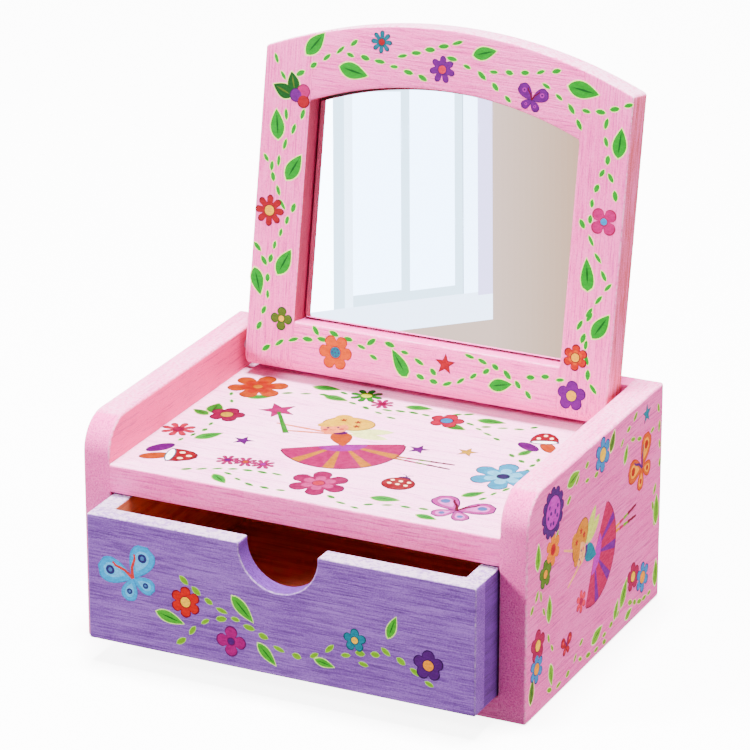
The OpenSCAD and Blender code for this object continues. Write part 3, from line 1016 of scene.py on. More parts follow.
def ribbon(path, width):
    """Band of constant width along a path, tapered to its last point."""
    path = np.asarray(path, float)
    along = np.gradient(path, axis=0)
    side = np.stack([-along[:, 1], along[:, 0]], 1)
    side /= np.linalg.norm(side, axis=1)[:, None]
    half = np.linspace(width, width * 0.6, len(path))[:, None] / 2
    return np.concatenate([path - side * half, (path + side * half)[::-1]])


def smooth_path(points, count):
    """Catmull-Rom curve through given points, at equal steps of its own length."""
    points = np.asarray(points, float)
    ends = np.concatenate([[2 * points[0] - points[1]], points, [2 * points[-1] - points[-2]]])
    t = np.linspace(0, 1, 12, endpoint=False)[:, None]
    parts = []
    for a, b, c, d in zip(ends, ends[1:], ends[2:], ends[3:]):
        curve = 2 * b + (c - a) * t + (2 * a - 5 * b + 4 * c - d) * t**2 + (3 * b - a - 3 * c + d) * t**3
        parts.append(curve / 2)
    curve = np.concatenate(parts + [points[-1:]])
    length = np.concatenate([[0], np.cumsum(np.linalg.norm(np.diff(curve, axis=0), axis=1))])
    wanted = np.linspace(0, length[-1], count)
    return np.stack([np.interp(wanted, length, curve[:, k]) for k in range(2)], 1)


class Sheet:
    """Collects the printed shapes of one face. Every shape is a closed film: its outline at its
    layer's height and again just under the paint, with a wall between."""

    def __init__(self, origin, across, up, out, ink_load=1.0):
        self.origin, self.across, self.up, self.out = (np.array(v, float) for v in (origin, across, up, out))
        self.flip = np.cross(self.across, self.up) @ self.out < 0
        self.points, self.faces, self.tints = [], [], []
        self.count = self.shapes = 0
        self.sizes, self.ink_load = settings()[2], ink_load

    def film(self, outline, x, y, layer, ink, turn=0.0):
        """Adds one flat shape at x, y, turned by some degrees."""
        angle = math.radians(turn)
        spin = np.array([[math.cos(angle), math.sin(angle)], [-math.sin(angle), math.cos(angle)]])
        flat = (np.asarray(outline) @ spin + (x, y)) * MM
        plane = self.origin + flat[:, :1] * self.across + flat[:, 1:] * self.up
        height = (layer + 1 + self.shapes % STAGGERS * STAGGER) * self.sizes.layer
        self.shapes += 1
        count = len(flat)
        index = np.arange(count)
        ahead = (index + 1) % count
        top, under = self.count + index, self.count + count + index
        walls = np.stack([under, self.count + count + ahead, self.count + ahead, top], 1).tolist()
        faces = walls + [top.tolist(), under[::-1].tolist()]
        self.faces += [face[::-1] for face in faces] if self.flip else faces
        self.points += [plane + height * self.out, plane - FILM_SINK * self.out]
        self.tints.append(np.tile(np.minimum(np.array(ink) * self.ink_load, MOST_INK), (2 * count, 1)))
        self.count += 2 * count

    def build(self, name, body):
        """Makes one piece of everything collected."""
        points, tints = np.concatenate(self.points), np.concatenate(self.tints)
        return add_piece(name, points, self.faces, body, [printed_ink()], tints=tints)

    # Motifs

    def leaf(self, x, y, length, turn, width=0.48, ink=GREEN, rim=PALE_GREEN, vein=DEEP_GREEN):
        """Leaf with a pale outline and a darker vein."""
        wide, line = length * width, self.sizes.outline / MM
        self.film(leaf_shape(length + 3 * line, wide + 2 * line, 13, 0.75, 0.7), x, y, 1, rim, turn)
        self.film(leaf_shape(length, wide, 13, 0.75, 0.7), x, y, 2, ink, turn)
        self.film(leaf_shape(length * 0.72, wide * 0.14, 5), x, y, 3, vein, turn)

    def drop(self, x, y, length, turn, width=0.42):
        """Drop-shaped leaf."""
        wide, line = length * width, self.sizes.outline / MM
        self.film(drop_shape(length + 3 * line, wide + 2 * line), x, y, 1, PALE_GREEN, turn)
        self.film(drop_shape(length, wide), x, y, 2, GREEN, turn)
        self.film(leaf_shape(length * 0.6, wide * 0.14, 5), x, y, 3, DEEP_GREEN, turn)

    def tendril(self, points, dashes, ink=GREEN, rim=PALE_GREEN):
        """Dashes along a smooth curve through given points."""
        path = smooth_path(points, max(2, 2 * dashes - 1))
        heading = np.gradient(path, axis=0)
        length, wide = self.sizes.dash_length / MM, self.sizes.dash_width / MM
        line = self.sizes.outline / MM * 0.8
        for k in range(dashes):
            (x, y), ahead = path[2 * k], heading[2 * k]
            turn = math.degrees(math.atan2(ahead[1], ahead[0])) + 14 * math.sin(2.4 * k + x)
            long, broad = length * (1 + 0.16 * math.sin(5 * k + y)), wide * (1 + 0.2 * math.cos(3 * k + x))
            self.film(leaf_shape(long + 2 * line, broad + 2 * line, 6, 0.55), x, y, 0, rim, turn)
            self.film(leaf_shape(long, broad, 6, 0.55), x, y, 1, ink, turn)

    def flower(
        self, x, y, radius, number, ink, heart, edge=None, waist=0.45, turn=0.0, core=0.3, inner=None
    ):
        """Flower with a darker outline, a heart, and sometimes a second ring of petals."""
        count = max(self.sizes.petal_points, 6 * number)
        line = 0.3
        self.film(petals(radius + line, number, waist, count), x, y, 4, edge or darker(ink), turn)
        self.film(petals(radius - line * 0.4, number, waist * 0.96, count), x, y, 5, ink, turn)
        if inner:
            self.film(petals(radius * 0.6, number, waist * 0.9, count), x, y, 6, inner, turn)
        self.film(ellipse(radius * core + line, radius * core + line, 20), x, y, 7, edge or darker(ink))
        self.film(ellipse(radius * core, radius * core, 20), x, y, 8, heart)

    def star(self, x, y, radius, ink, turn=0.0):
        """Five-pointed star with a darker outline."""
        self.film(star_shape(radius + 0.4), x, y, 4, darker(ink), turn)
        self.film(star_shape(radius), x, y, 5, ink, turn)

    def butterfly(self, x, y, span_mm, turn, wing, edge, spot, feeler=DEEP_RED, dot=None, inner=None):
        """Two big upper wings, two small lower wings, eye spots and two feelers."""
        big, small = span_mm * 0.5, span_mm * 0.32
        for side in (-1, 1):
            for length, swing, layer in ((big, 38, 5), (small, -48, 4)):
                angle = 90 - side * (90 - swing) if side > 0 else 90 + (90 - swing)
                way = np.array([math.cos(math.radians(angle)), math.sin(math.radians(angle))])
                where = spun(way * length * 0.52, turn) + (x, y)
                facing = angle + 180 + turn
                self.film(drop_shape(length + 0.8, length * 0.74), *where, layer, edge, facing)
                self.film(drop_shape(length, length * 0.66), *where, layer + 1, wing, facing)
                patch = spun(way * length * 0.56, turn) + (x, y)
                self.film(drop_shape(length * 0.66, length * 0.4), *patch, layer + 2, inner or wing, facing)
                eye = spun(way * length * (0.68 if length == big else 0.62), turn) + (x, y)
                self.film(ellipse(length * 0.13, length * 0.13, 16), *eye, layer + 3, spot, 0)
                if dot:
                    self.film(ellipse(length * 0.06, length * 0.06, 10), *eye, layer + 4, dot, 0)
            curl = np.array([[0, 0], [0.06, 0.14], [0.16, 0.24], [0.18, 0.3]]) * (side, 1) * span_mm
            self.film(ribbon(spun(curl, turn), 0.045 * span_mm), x, y, 8, feeler)

    def berries(self, x, y):
        """Three berries under two dark leaves."""
        self.leaf(x - 6.0, y + 0.2, 7.6, 158, 0.6, DEEP_GREEN, PALE_GREEN, OLIVE)
        self.leaf(x - 2.6, y + 3.2, 6.8, 105, 0.6, DEEP_GREEN, PALE_GREEN, OLIVE)
        berries = ((1.2, 0.7, 2.05, HOT_PINK), (-1.3, -0.8, 1.95, PLUM), (1.4, -2.5, 1.9, RED))
        for dx, dy, radius, ink in berries:
            self.film(ellipse(radius + 0.3, radius + 0.3), x + dx, y + dy, 4, darker(ink))
            self.film(ellipse(radius, radius), x + dx, y + dy, 5, ink)

    def toadstool(self, x, y, turn, scale=1.0):
        """Spotted red cap on a pale stalk, with a small violet and a small orange one beside it."""
        for dx, dy, ink, lean in ((-5.6, -4.6, PLUM, 132), (1.6, -4.8, ORANGE, 109)):
            place = spun(np.array([dx, dy]) * scale, turn) + (x, y)
            self.film(ellipse(5.3 * scale, 2.7 * scale), *place, 3, darker(ink), turn + lean)
            self.film(ellipse(5.0 * scale, 2.4 * scale), *place, 4, ink, turn + lean)
        self.film(fan_shape(5.5 * scale, -4, 184) * (1, 1.7), x, y, 5, DEEP_RED, turn)
        self.film(fan_shape(5.1 * scale, 0, 180) * (1, 1.7), x, y, 6, RED, turn)
        self.film(ellipse(5.3 * scale, 1.7 * scale), x, y, 7, AQUA, turn)
        self.film(ellipse(4.6 * scale, 1.2 * scale), x, y, 8, WHITE, turn)
        for dx, dy in ((-2.3, 3.6), (0.2, 6.3), (2.5, 3.8)):
            where = spun(np.array([dx, dy]) * scale, turn) + (x, y)
            self.film(ellipse(0.8 * scale, 1.0 * scale, 10), *where, 9, CREAM, turn)

    def ladybird(self, x, y, radius, turn=0.0):
        """Red back with pale spots, violet head and tail."""
        head = spun(np.array([0, radius * 0.85]), turn) + (x, y)
        self.film(ellipse(radius * 0.45, radius * 0.35, 16), *head, 4, VIOLET, turn)
        self.film(ellipse(radius + 0.35, radius * 0.9 + 0.35), x, y, 5, DEEP_RED, turn)
        self.film(ellipse(radius, radius * 0.9), x, y, 6, RED, turn)
        for k in range(6):
            place = spun(np.array([(k % 3 - 1) * 0.55, (k // 3) * 0.5 - 0.1]) * radius, turn) + (x, y)
            self.film(ellipse(radius * 0.14, radius * 0.12, 10), *place, 7, CREAM, turn)
        for side in (-1, 1):
            feel = spun(np.array([[0, 0], [0.1 * side, 0.25], [0.35 * side, 0.35]]) * radius, turn)
            self.film(ribbon(feel, 0.4), *(head + spun(np.array([0, radius * 0.3]), turn)), 4, VIOLET)

    def dancer(self, x, y, turn, size, arms, legs, hair, bodice, skirt, stripe, wing, wand=False):
        """A small leaping dancer of plain shapes: striped skirt fan, heart-shaped bodice, round face
        under a bun. Angles are in degrees from the dancer's own right."""

        def part(outline, px, py, layer, ink, spin=0.0):
            where = spun(np.array([px, py], float) * size, turn) + (x, y)
            self.film(outline * size, *where, layer, ink, turn + spin)

        def limb(start, angle, length, width, inks, layer):
            way = np.array([math.cos(math.radians(angle)), math.sin(math.radians(angle))])
            for k, ink in enumerate(inks):
                ends = start + way * length * np.array([[k], [k + 1.05]]) / len(inks)
                part(ribbon(ends, width * (1 - 0.3 * k / len(inks))), 0, 0, layer, ink)
            return start + way * length

        part(leaf_shape(15, 5.0, 9, 0.7), 9.5, 9.5, 0, wing, -8)
        part(leaf_shape(13, 4.4, 9, 0.7), 8.5, 5.8, 0, wing, -26)
        stocking = [skirt, LIME, skirt, AMBER, skirt, LIME, DEEP_RED, DEEP_RED]
        for angle in legs:
            limb(np.array([5.0, -6.0]), angle, 31, 1.7, stocking, 1)
        part(fan_shape(19.9, -172, -8, 1.2, 25), 0, 0, 2, darker(skirt))
        edges = np.linspace(-171, -9, 10)
        for k, (start, end) in enumerate(zip(edges, edges[1:])):
            narrow, ink = (4.0, stripe) if k % 2 else (-4.0, skirt)
            part(fan_shape(19.4, start + narrow, end - narrow + 0.5, 1.5, 5), 0, 0, 3 + k % 2, ink)
        part(fan_shape(8.0, -168, -12, 1.0, 13) * (1, 0.7), 0, 0, 5, ORCHID)
        shoulder = np.array([0.0, 8.2])
        hands = [
            limb(shoulder, angle, length, 1.5, [SKIN] * 2, 5) for angle, length in zip(arms, (22, 18))
        ]
        part(drop_shape(11.5, 7.0), 0, 4.2, 6, bodice, -90)
        part(ellipse(2.3, 1.3, 14), 0, 9.4, 7, VIOLET)
        part(ellipse(8.5, 5.6, 28), 3.2, 16.8, 6, darker(hair), -14)
        part(ellipse(8.1, 5.2, 28), 3.2, 16.8, 7, hair, -14)
        part(ellipse(2.9, 2.6, 18), 2.0, 22.0, 7, hair)
        part(ellipse(4.5, 4.2, 24), -1.6, 13.8, 8, SKIN)
        part(ellipse(5.0, 2.2, 20), -1.8, 17.2, 9, hair, 8)
        for side in (-1, 1):
            part(ellipse(0.45, 0.6, 10), -2.0 + 1.6 * side, 14.0, 9, VIOLET)
            part(ellipse(0.8, 0.6, 10), -2.0 + 2.5 * side, 12.5, 9, CORAL)
        part(ribbon([[-3.0, 12.4], [-2.2, 11.9], [-1.2, 12.3]], 0.35), 0, 0, 9, DEEP_RED)
        for dx, dy in ((1.8, 20.0), (6.2, 17.8), (5.4, 14.4)):
            part(petals(1.2, 5, 0.4, 20), dx, dy, 9, RED)
        if wand:
            tip = hands[1] + (-1.0, 15.5)
            part(ribbon(np.array([hands[1] + (0.2, -2.2), tip]), 1.9), 0, 0, 6, GREEN)
            self.star(*(spun(tip + (0, 1.5), turn) + (x, y)), 6.0, HOT_PINK, turn + 10)


def darker(ink):
    """The outline colour of an ink."""
    return tuple(0.35 * part for part in ink)


def spun(points, degrees):
    """Points turned about the origin."""
    a = math.radians(degrees)
    return np.asarray(points, float) @ np.array([[math.cos(a), math.sin(a)], [-math.sin(a), math.cos(a)]])


def print_on_frame():
    """Garland round the mirror: x from the middle, y up from the foot."""
    lean = settings()[0].lean
    f = frame_sizes()
    origin = from_frame_axes([(0, -f["back"], f["foot"])])[0]
    up, out = (0, math.sin(lean), math.cos(lean)), (0, -math.cos(lean), math.sin(lean))
    sheet = Sheet(origin, (1, 0, 0), up, out, ink_load=0.9)
    for points, dashes in (
        ([(-50.5, 97), (-42, 103), (-32.5, 109)], 5), ([(-33.5, 105), (-23.5, 104.3), (-8, 101)], 6),
        ([(-15.5, 107), (-7.5, 109.7), (3, 113.5)], 5), ([(1.5, 108.3), (12.5, 104.2), (21.5, 98.2)], 5),
        ([(16, 106), (25.5, 107), (37, 109)], 5), ([(34, 104), (43, 98), (46, 93.5)], 4),
        ([(48, 98), (53.5, 98.5), (61.8, 101.6)], 4), ([(55, 95), (55.5, 88.7), (56.5, 83.8)], 3),
        ([(55, 79.5), (52.6, 70), (52.4, 64.6)], 4), ([(58, 78.4), (60, 73)], 2),
        ([(49.9, 62.8), (50.5, 62)], 1),
        ([(53.3, 58), (56, 53), (58.5, 47.6)], 3), ([(60.3, 44.2), (56.8, 38.6), (52, 31)], 4),
        ([(55, 34), (54, 30), (53.5, 27)], 2), ([(54.6, 25), (56.2, 15.4), (58.3, 11.5)], 4),
        ([(37, 11.8), (41.5, 12.8), (47, 12.6)], 3), ([(-32, 15), (-24, 13.2), (-17.5, 9.6)], 4),
        ([(-18.7, 14.4), (-18, 14.9)], 1), ([(-12.2, 14.6), (-5, 12.2), (3.6, 8.2)], 4),
        ([(-0.7, 5.9), (9, 5.2), (21.8, 11.3)], 6), ([(15.7, 15.2), (27, 12.4), (36.7, 6.1)], 6),
        ([(-55.7, 6.7), (-47.6, 10.5), (-36, 12.5)], 5), ([(-38.5, 15), (-37.8, 14.4)], 1),
        ([(-57.6, 62.6), (-55, 57.5), (-53.6, 54)], 3), ([(-49.6, 53.5), (-55.3, 40.6), (-56.4, 36)], 5),
        ([(-61.4, 39.2), (-58.7, 35)], 2), ([(-57, 29.6), (-56.6, 23.6), (-58.8, 13.6)], 4),
        ([(-59.3, 100.7), (-56.5, 95.5)], 2), ([(-54.5, 83.2), (-54.6, 82)], 1),
        ([(-48.7, 84), (-54, 74), (-56, 68)], 4), ([(-60.5, 68.4), (-60, 67.4)], 1),
        ([(-58.3, 66), (-57.6, 62.6)], 1),
    ):
        sheet.tendril(points, dashes)
    for x, y, length, turn in (
        (-46, 107, 9.6, 52), (-32, 100, 10.2, -10), (12.5, 111.5, 8.2, 17), (46.5, 104.3, 10.6, -8),
        (60, 89.5, 9.4, 87), (59, 31.5, 9.6, 58), (-57.4, 79.6, 9.8, 98), (-50.5, 66.5, 9.8, 62),
        (-51.5, 35.5, 9.6, 64), (-60.5, 28, 9.0, -72), (27, 7.7, 8.0, 13),
    ):
        sheet.leaf(x, y, length, turn)
    sheet.drop(53, 47.2, 10.4, 97)
    sheet.drop(-8.3, 9.2, 10.0, 126)
    sheet.flower(-23, 110.5, 3.4, 8, AQUA, RED, TEAL, 0.42, core=0.3)
    sheet.flower(-1.5, 104.5, 4.1, 7, PLUM, CORAL, VIOLET, 0.4, core=0.32)
    sheet.flower(57, 64.5, 4.6, 4, HOT_PINK, SKY, ROSE, 0.4, 45, 0.24)
    sheet.flower(51.5, 20.5, 4.0, 6, SCARLET, YELLOW, DEEP_RED, 0.62, core=0.34, inner=ORANGE)
    sheet.flower(51.3, 8.2, 4.6, 5, PLUM, YELLOW, VIOLET, 0.6, core=0.36)
    sheet.flower(-58, 51.5, 4.9, 8, RED, YELLOW, DEEP_RED, 0.5, core=0.34)
    sheet.flower(-51, 17, 3.6, 4, OLIVE, YELLOW, DEEP_GREEN, 0.42, core=0.28)
    sheet.flower(-31, 9, 5.6, 6, ORANGE, AQUA, BRICK, 0.66, 30, 0.32)
    for k in range(7):
        dot = np.array([math.cos(k), math.sin(k)]) * (1.15 if k < 6 else 0)
        sheet.film(ellipse(0.24, 0.24, 8), -31 + dot[0], 9 + dot[1], 9, VIOLET)
    sheet.star(7.5, 11.3, 3.2, RED)
    sheet.berries(-50.2, 90.6)
    sheet.butterfly(29.5, 99, 11.5, -10, PLUM, VIOLET, ORCHID, DEEP_RED, VIOLET)
    sheet.build("mirror_frame_print", "mirror_frame")


def print_on_deck():
    """Dancer and flowers on the deck: x from the middle, y back from the front edge."""
    low, high = span("deck")
    sheet = Sheet((0, low[1], high[2]), (1, 0, 0), (0, 1, 0), (0, 0, 1), ink_load=0.4)
    for points, dashes in (
        ([(-59, 68.5), (-56, 63)], 2), ([(-43, 76.8), (-37, 79), (-31.8, 80.5)], 3),
        ([(-31.7, 80.5), (-18.4, 77.4), (-4, 72)], 6), ([(-26.6, 84.6), (-25, 84.4)], 1),
        ([(-7.8, 77.3), (-1, 78.8), (5, 78.8)], 4), ([(13.7, 83.4), (17, 85.2)], 2),
        ([(20.8, 78), (27, 74), (33.4, 70.2)], 4), ([(26.3, 78), (37.4, 81), (40.2, 84)], 4),
        ([(43.1, 60), (47.7, 57)], 2), ([(52, 60), (52.2, 50.7)], 3),
        ([(-53, 43), (-52.4, 37.8), (-55.5, 27.5)], 4), ([(-42.6, 7), (-29.6, 13.2), (-15.7, 15.3)], 7),
        ([(-29.5, 9.4), (-20, 4.6), (-9, 4.6)], 5), ([(7, 6.6), (12, 3.6), (17, 2.3)], 3),
        ([(19.8, 6.2), (25.6, 8.4), (36.2, 10.2)], 4), ([(49, 25), (50.3, 29.6), (52.5, 34.5)], 3),
    ):
        sheet.tendril(points, dashes, GREEN, (1.4, 1.6, 0.7))
    for x, y, length, turn in (
        (-49.5, 70, 7.5, 30), (-33.5, 86, 9, 8), (-27, 79.5, 8.5, -8), (-49, 34, 9.5, 52),
        (-30, 4.6, 8, -38),
        (0.5, 83.4, 8.5, 12), (26, 82.8, 9, 8), (46, 64, 6, 70), (22.5, 12.2, 9, 10), (39.5, 5, 7, -8),
        (45, 27, 7.5, 50),
    ):
        sheet.leaf(x, y, length, turn, 0.42, GRASS, PALE_GREEN)
    sheet.flower(-54, 77.5, 9.6, 6, ORANGE, AMBER, RUST, 0.5, 0, 0.16, inner=EMBER)
    sheet.leaf(-58, 55.5, 8, 100, 0.6)
    sheet.leaf(-60.5, 50.5, 6.5, 160, 0.5)
    sheet.flower(-52, 52, 5.6, 5, ROSE, YELLOW, (0.06, 0.001, 0.03), 0.62, core=0.36)
    sheet.flower(-60, 34.5, 5.4, 8, CORAL, ROSE, (0.2, 0.01, 0.04), 0.36, core=0.3)
    sheet.toadstool(-52.5, 15.0, -75, 0.95)
    sheet.star(-37.5, 35, 3.2, PLUM)
    for x, y, heart in ((-34.5, 18.8, PLUM), (-28.8, 19.8, ORANGE), (-23, 20.4, ORCHID)):
        sheet.flower(x, y, 3.5, 8, HOT_PINK, heart, ROSE, 0.34, core=0.26)
    sheet.flower(-1.0, 14.4, 9.2, 6, CERISE, CORAL, WINE, 0.55, 15, 0.2, inner=PETAL_PINK)
    sheet.flower(-19, 85.5, 5.2, 8, GREEN, (0.7, 0.8, 0.01), DEEP_GREEN, 0.42, core=0.34)
    sheet.flower(-11.5, 81.3, 3.6, 8, HOT_PINK, ROSE, ROSE, 0.34, core=0.26)
    sheet.leaf(17.6, 73.6, 7.5, -12, 0.5)
    sheet.flower(13, 77.2, 5.4, 5, CHERRY, SKY, DEEP_RED, 0.6, core=0.36)
    sheet.toadstool(48, 74, 20, 0.85)
    sheet.star(15, 52, 3.2, PLUM)
    sheet.star(29.5, 56.5, 3.2, YELLOW)
    sheet.flower(47.6, 43.4, 10.2, 6, DEEP_SKY, NAVY, TEAL, 0.52, 10, 0.18, inner=PALE_SKY)
    sheet.ladybird(21, 24.5, 5.0)
    sheet.butterfly(45.6, 13.2, 23.5, -4, MAUVE, VIOLET, DUSK, inner=BLUSH)
    sheet.dancer(-8.0, 45.4, 30, 1.0, (150, 164), (-25, -32), STRAW, ORANGE,
                 (0.38, 0.001, 0.1), AMBER, GAUZE, True)
    sheet.build("deck_print", "casing")


def print_on_side(left):
    """Dancer and flowers on a side: x back from the front edge, y up from the underside."""
    low, high = span("right_side")
    room = settings()[0].film_room
    sign = -1 if left else 1
    corner = (sign * (high[0] - room), low[1], low[2])
    sheet = Sheet(corner, (0, 1, 0), (0, 0, 1), (sign, 0, 0), ink_load=1.5)
    straw_rim, lime_rim = (0.55, 0.45, 0.15), (0.5, 0.55, 0.2)
    for points, dashes in (
        ([(82.6, 70), (77, 67.6), (72.2, 65)], 3), ([(44.3, 68.2), (37, 66), (30.6, 61.8)], 3),
        ([(97, 60.3), (91, 60), (81, 63)], 4), ([(101.8, 66), (103, 58), (104, 46.8)], 4),
        ([(100.2, 39), (98.8, 35), (100.5, 28)], 3), ([(51.8, 62.2), (44.6, 63)], 2),
        ([(7.4, 39.5), (3.9, 36.3)], 2), ([(10.4, 38.3), (12.8, 32.4)], 2), ([(16.7, 22), (19.5, 17.7)], 2),
        ([(42.3, 10), (37.6, 6.6)], 2), ([(41.7, 4.6), (52, 2.6), (60.9, 2.4)], 4),
        ([(60.8, 4.8), (66, 6), (71.3, 7.5)], 3), ([(81.6, 7.3), (90, 4.4), (97.5, 4.2)], 5),
        ([(32, 3.7), (25, 3), (17.9, 4.3)], 3), ([(22, 54), (26, 57), (30.6, 61.8)], 2),
    ):
        sheet.tendril(points, dashes, STEM, straw_rim)
    for x, y, length, turn in (
        (33.8, 67.6, 9, 10), (75.4, 60, 6, 70), (101.8, 31.5, 10, 90), (7.9, 52, 8.5, 88),
        (16.9, 31.5, 8.5, 88), (54.7, 7.3, 8.5, 20), (80.4, 3.9, 5.5, 20), (102.6, 9.2, 9, 88),
        (19, 8.9, 7.5, -80), (76.1, 12.7, 9.5, 60), (70, 9.5, 6.5, 65),
    ):
        sheet.leaf(x, y, length, turn, 0.42, LIME, lime_rim)
    sheet.leaf(64.2, 68.6, 7, 62, 0.5, OLIVE, PALE_GREEN)
    sheet.leaf(4.4, 9.6, 8.5, 80, 0.4, OLIVE, PALE_GREEN)
    sheet.flower(56.5, 67, 5.6, 6, BLUE, YELLOW, NAVY, 0.6, core=0.4)
    sheet.star(92, 67.6, 3.0, AQUA)
    rusty, dark_rust = (0.3, 0.01, 0.001), (0.25, 0.004, 0.001)
    sheet.butterfly(89, 50.5, 22, 28, TANGERINE, rusty, dark_rust, VIOLET, inner=HONEY)
    sheet.flower(18.5, 62.5, 8.0, 12, VIOLET, ORCHID, (0.03, 0.002, 0.05), 0.84, core=0.66)
    for k in range(9):
        turn, reach = (k * 2.4, 3.6) if k % 3 else (k, 1.6)
        x, y = 18.5 + reach * math.cos(turn), 62.5 + reach * math.sin(turn)
        sheet.film(ellipse(0.7, 0.7, 8), x, y, 9, VIOLET)
    sheet.flower(19, 50.3, 5.0, 6, MARIGOLD, RED, ORANGE, 0.6, core=0.34)
    sheet.flower(13.5, 44.4, 4.4, 5, OLIVE, AMBER, DEEP_GREEN, 0.58, core=0.32)
    sheet.flower(83.5, 15.4, 4.6, 5, ROSE, YELLOW, DEEP_RED, 0.56, core=0.36)
    sheet.flower(91.5, 12, 5.0, 6, BLUE, AMBER, NAVY, 0.56, core=0.4)
    sheet.flower(8.6, 23, 5.0, 5, ROSE, YELLOW, DEEP_RED, 0.56, core=0.36)
    sheet.flower(7.8, 15.6, 4.6, 6, BLUE, AMBER, NAVY, 0.56, core=0.4)
    sheet.butterfly(30.5, 13.6, 9, 0, RED, DEEP_RED, CORAL, VIOLET)
    sheet.flower(41.5, 24, 3.6, 6, CORAL, ROSE, ROSE, 0.36, core=0.26)
    sheet.dancer(51.5, 36, 62, 0.86, (96, 142), (-57, -65), (0.4, 0.12, 0.004), AQUA,
                 (0.3, 0.001, 0.05), PLUM, (0.4, 0.42, 0.06))
    sheet.build("left_side_print" if left else "right_side_print", "casing")


def print_on_drawer():
    """Butterfly and flowers on the drawer front: x from the middle, y up from the lower edge."""
    low = span("drawer_front")[0]
    room = settings()[0].film_room
    sheet = Sheet((0, low[1] + room, low[2]), (1, 0, 0), (0, 0, 1), (0, -1, 0), ink_load=1.35)
    for points, dashes in (
        ([(-32, 25.7), (-21.7, 19.3), (-5.2, 12.4)], 7), ([(-19.3, 15.3), (-26, 12.6), (-33.2, 5.2)], 4),
        ([(-5, 12.4), (2, 8.5), (10, 8.6), (17.3, 12.8)], 5), ([(22.7, 11.7), (28, 13.4), (32.5, 13.9)], 3),
        ([(28.6, 9.9), (29.6, 9.8)], 1), ([(36, 15.5), (42.9, 12.5), (50.3, 7.8)], 4),
    ):
        sheet.tendril(points, dashes, LIME, (0.25, 0.4, 0.05))
    for x, y, length, turn in (
        (-37, 12.3, 9.6, -14), (-12, 20, 10.2, -46), (-3.9, 6.6, 8.6, -46), (38, 23.8, 7.6, 70),
        (15.5, 7.6, 6.5, -12),
    ):
        sheet.leaf(x, y, length, turn, 0.36, FERN, (0.4, 0.55, 0.12))
    sheet.flower(-31.5, 18.5, 4.9, 6, POPPY, YELLOW, DEEP_RED, 0.66, core=0.34)
    sheet.flower(-16, 8.5, 4.8, 4, FUCHSIA, VIOLET, (0.07, 0.001, 0.05), 0.42, core=0.22)
    sheet.flower(50, 13.8, 4.8, 5, VIOLET, AMBER, (0.02, 0.002, 0.04), 0.6, core=0.36)
    sheet.flower(25.7, 17.2, 3.6, 5, AQUA, YELLOW, TEAL, 0.5, core=0.3)
    wing, rim, inner = (0.006, 0.22, 0.46), (0.004, 0.17, 0.4), (0.06, 0.3, 0.55)
    feeler, dot = (0.36, 0.02, 0.02), (0.03, 0.1, 0.25)
    sheet.butterfly(-49.6, 22.9, 23.5, 27, wing, rim, NAVY, feeler, dot, inner)
    sheet.build("drawer_front_print", "drawer")


# ---- Operators: one for each group of pieces and one for the stage ----


class TRINKET_OT_casing(Operator):
    """Build the side boards, deck, base and back with eased edges"""

    bl_idname = "trinket.casing"
    bl_label = "Casing"

    def execute(self, context):
        sizes = settings()[0]
        edge, seam = sizes.edge, sizes.seam
        for left, node in ((True, "left_side"), (False, "right_side")):
            points, faces, wear_and_sheen = side_board(left)
            # Paler rim tops: painted highlight of the top light.
            wear_and_sheen = lit_top(points, 0.5 * wear_and_sheen, 0.55)
            # The inner faces of the side boards take the darker pink: painted shade inside the rims and
            # round the drawer bay.
            finishes = [paint("pink", "y"), paint("pink_shade", "y")]
            add_piece(node + "_board", points, faces, "casing", finishes, wear_and_sheen,
                      choose=facing(0, 1 if left else -1, 0.8), replaces=(node,))
        ends = (seam, seam)
        for node, soft in (
            ("deck", (ends, (edge, seam), (edge, edge))),
            ("base_board", (ends, (edge, seam), (edge, edge))),
            ("back_panel", (ends, (edge, edge), (edge, edge))),
        ):
            points, faces, wear_and_sheen = plain_board(node, soft, ((0, 0, 0), (0, node == "back_panel", 0)))
            # The deck's top face takes the paler pink: painted highlight of the top light.
            finishes = [paint("pink", "x"), paint("pink_lit_top", "x")]
            add_piece(node + "_painted", points, faces, "casing", finishes, 0.5 * wear_and_sheen,
                      choose=facing(2, 1, 0.7, int(node == "deck")), replaces=(node,))
        for node in ("deck_dowels", "base_dowels"):
            dress_node(node, bare_wood("x"))
        dress_node("back_brads", steel())
        return {"FINISHED"}


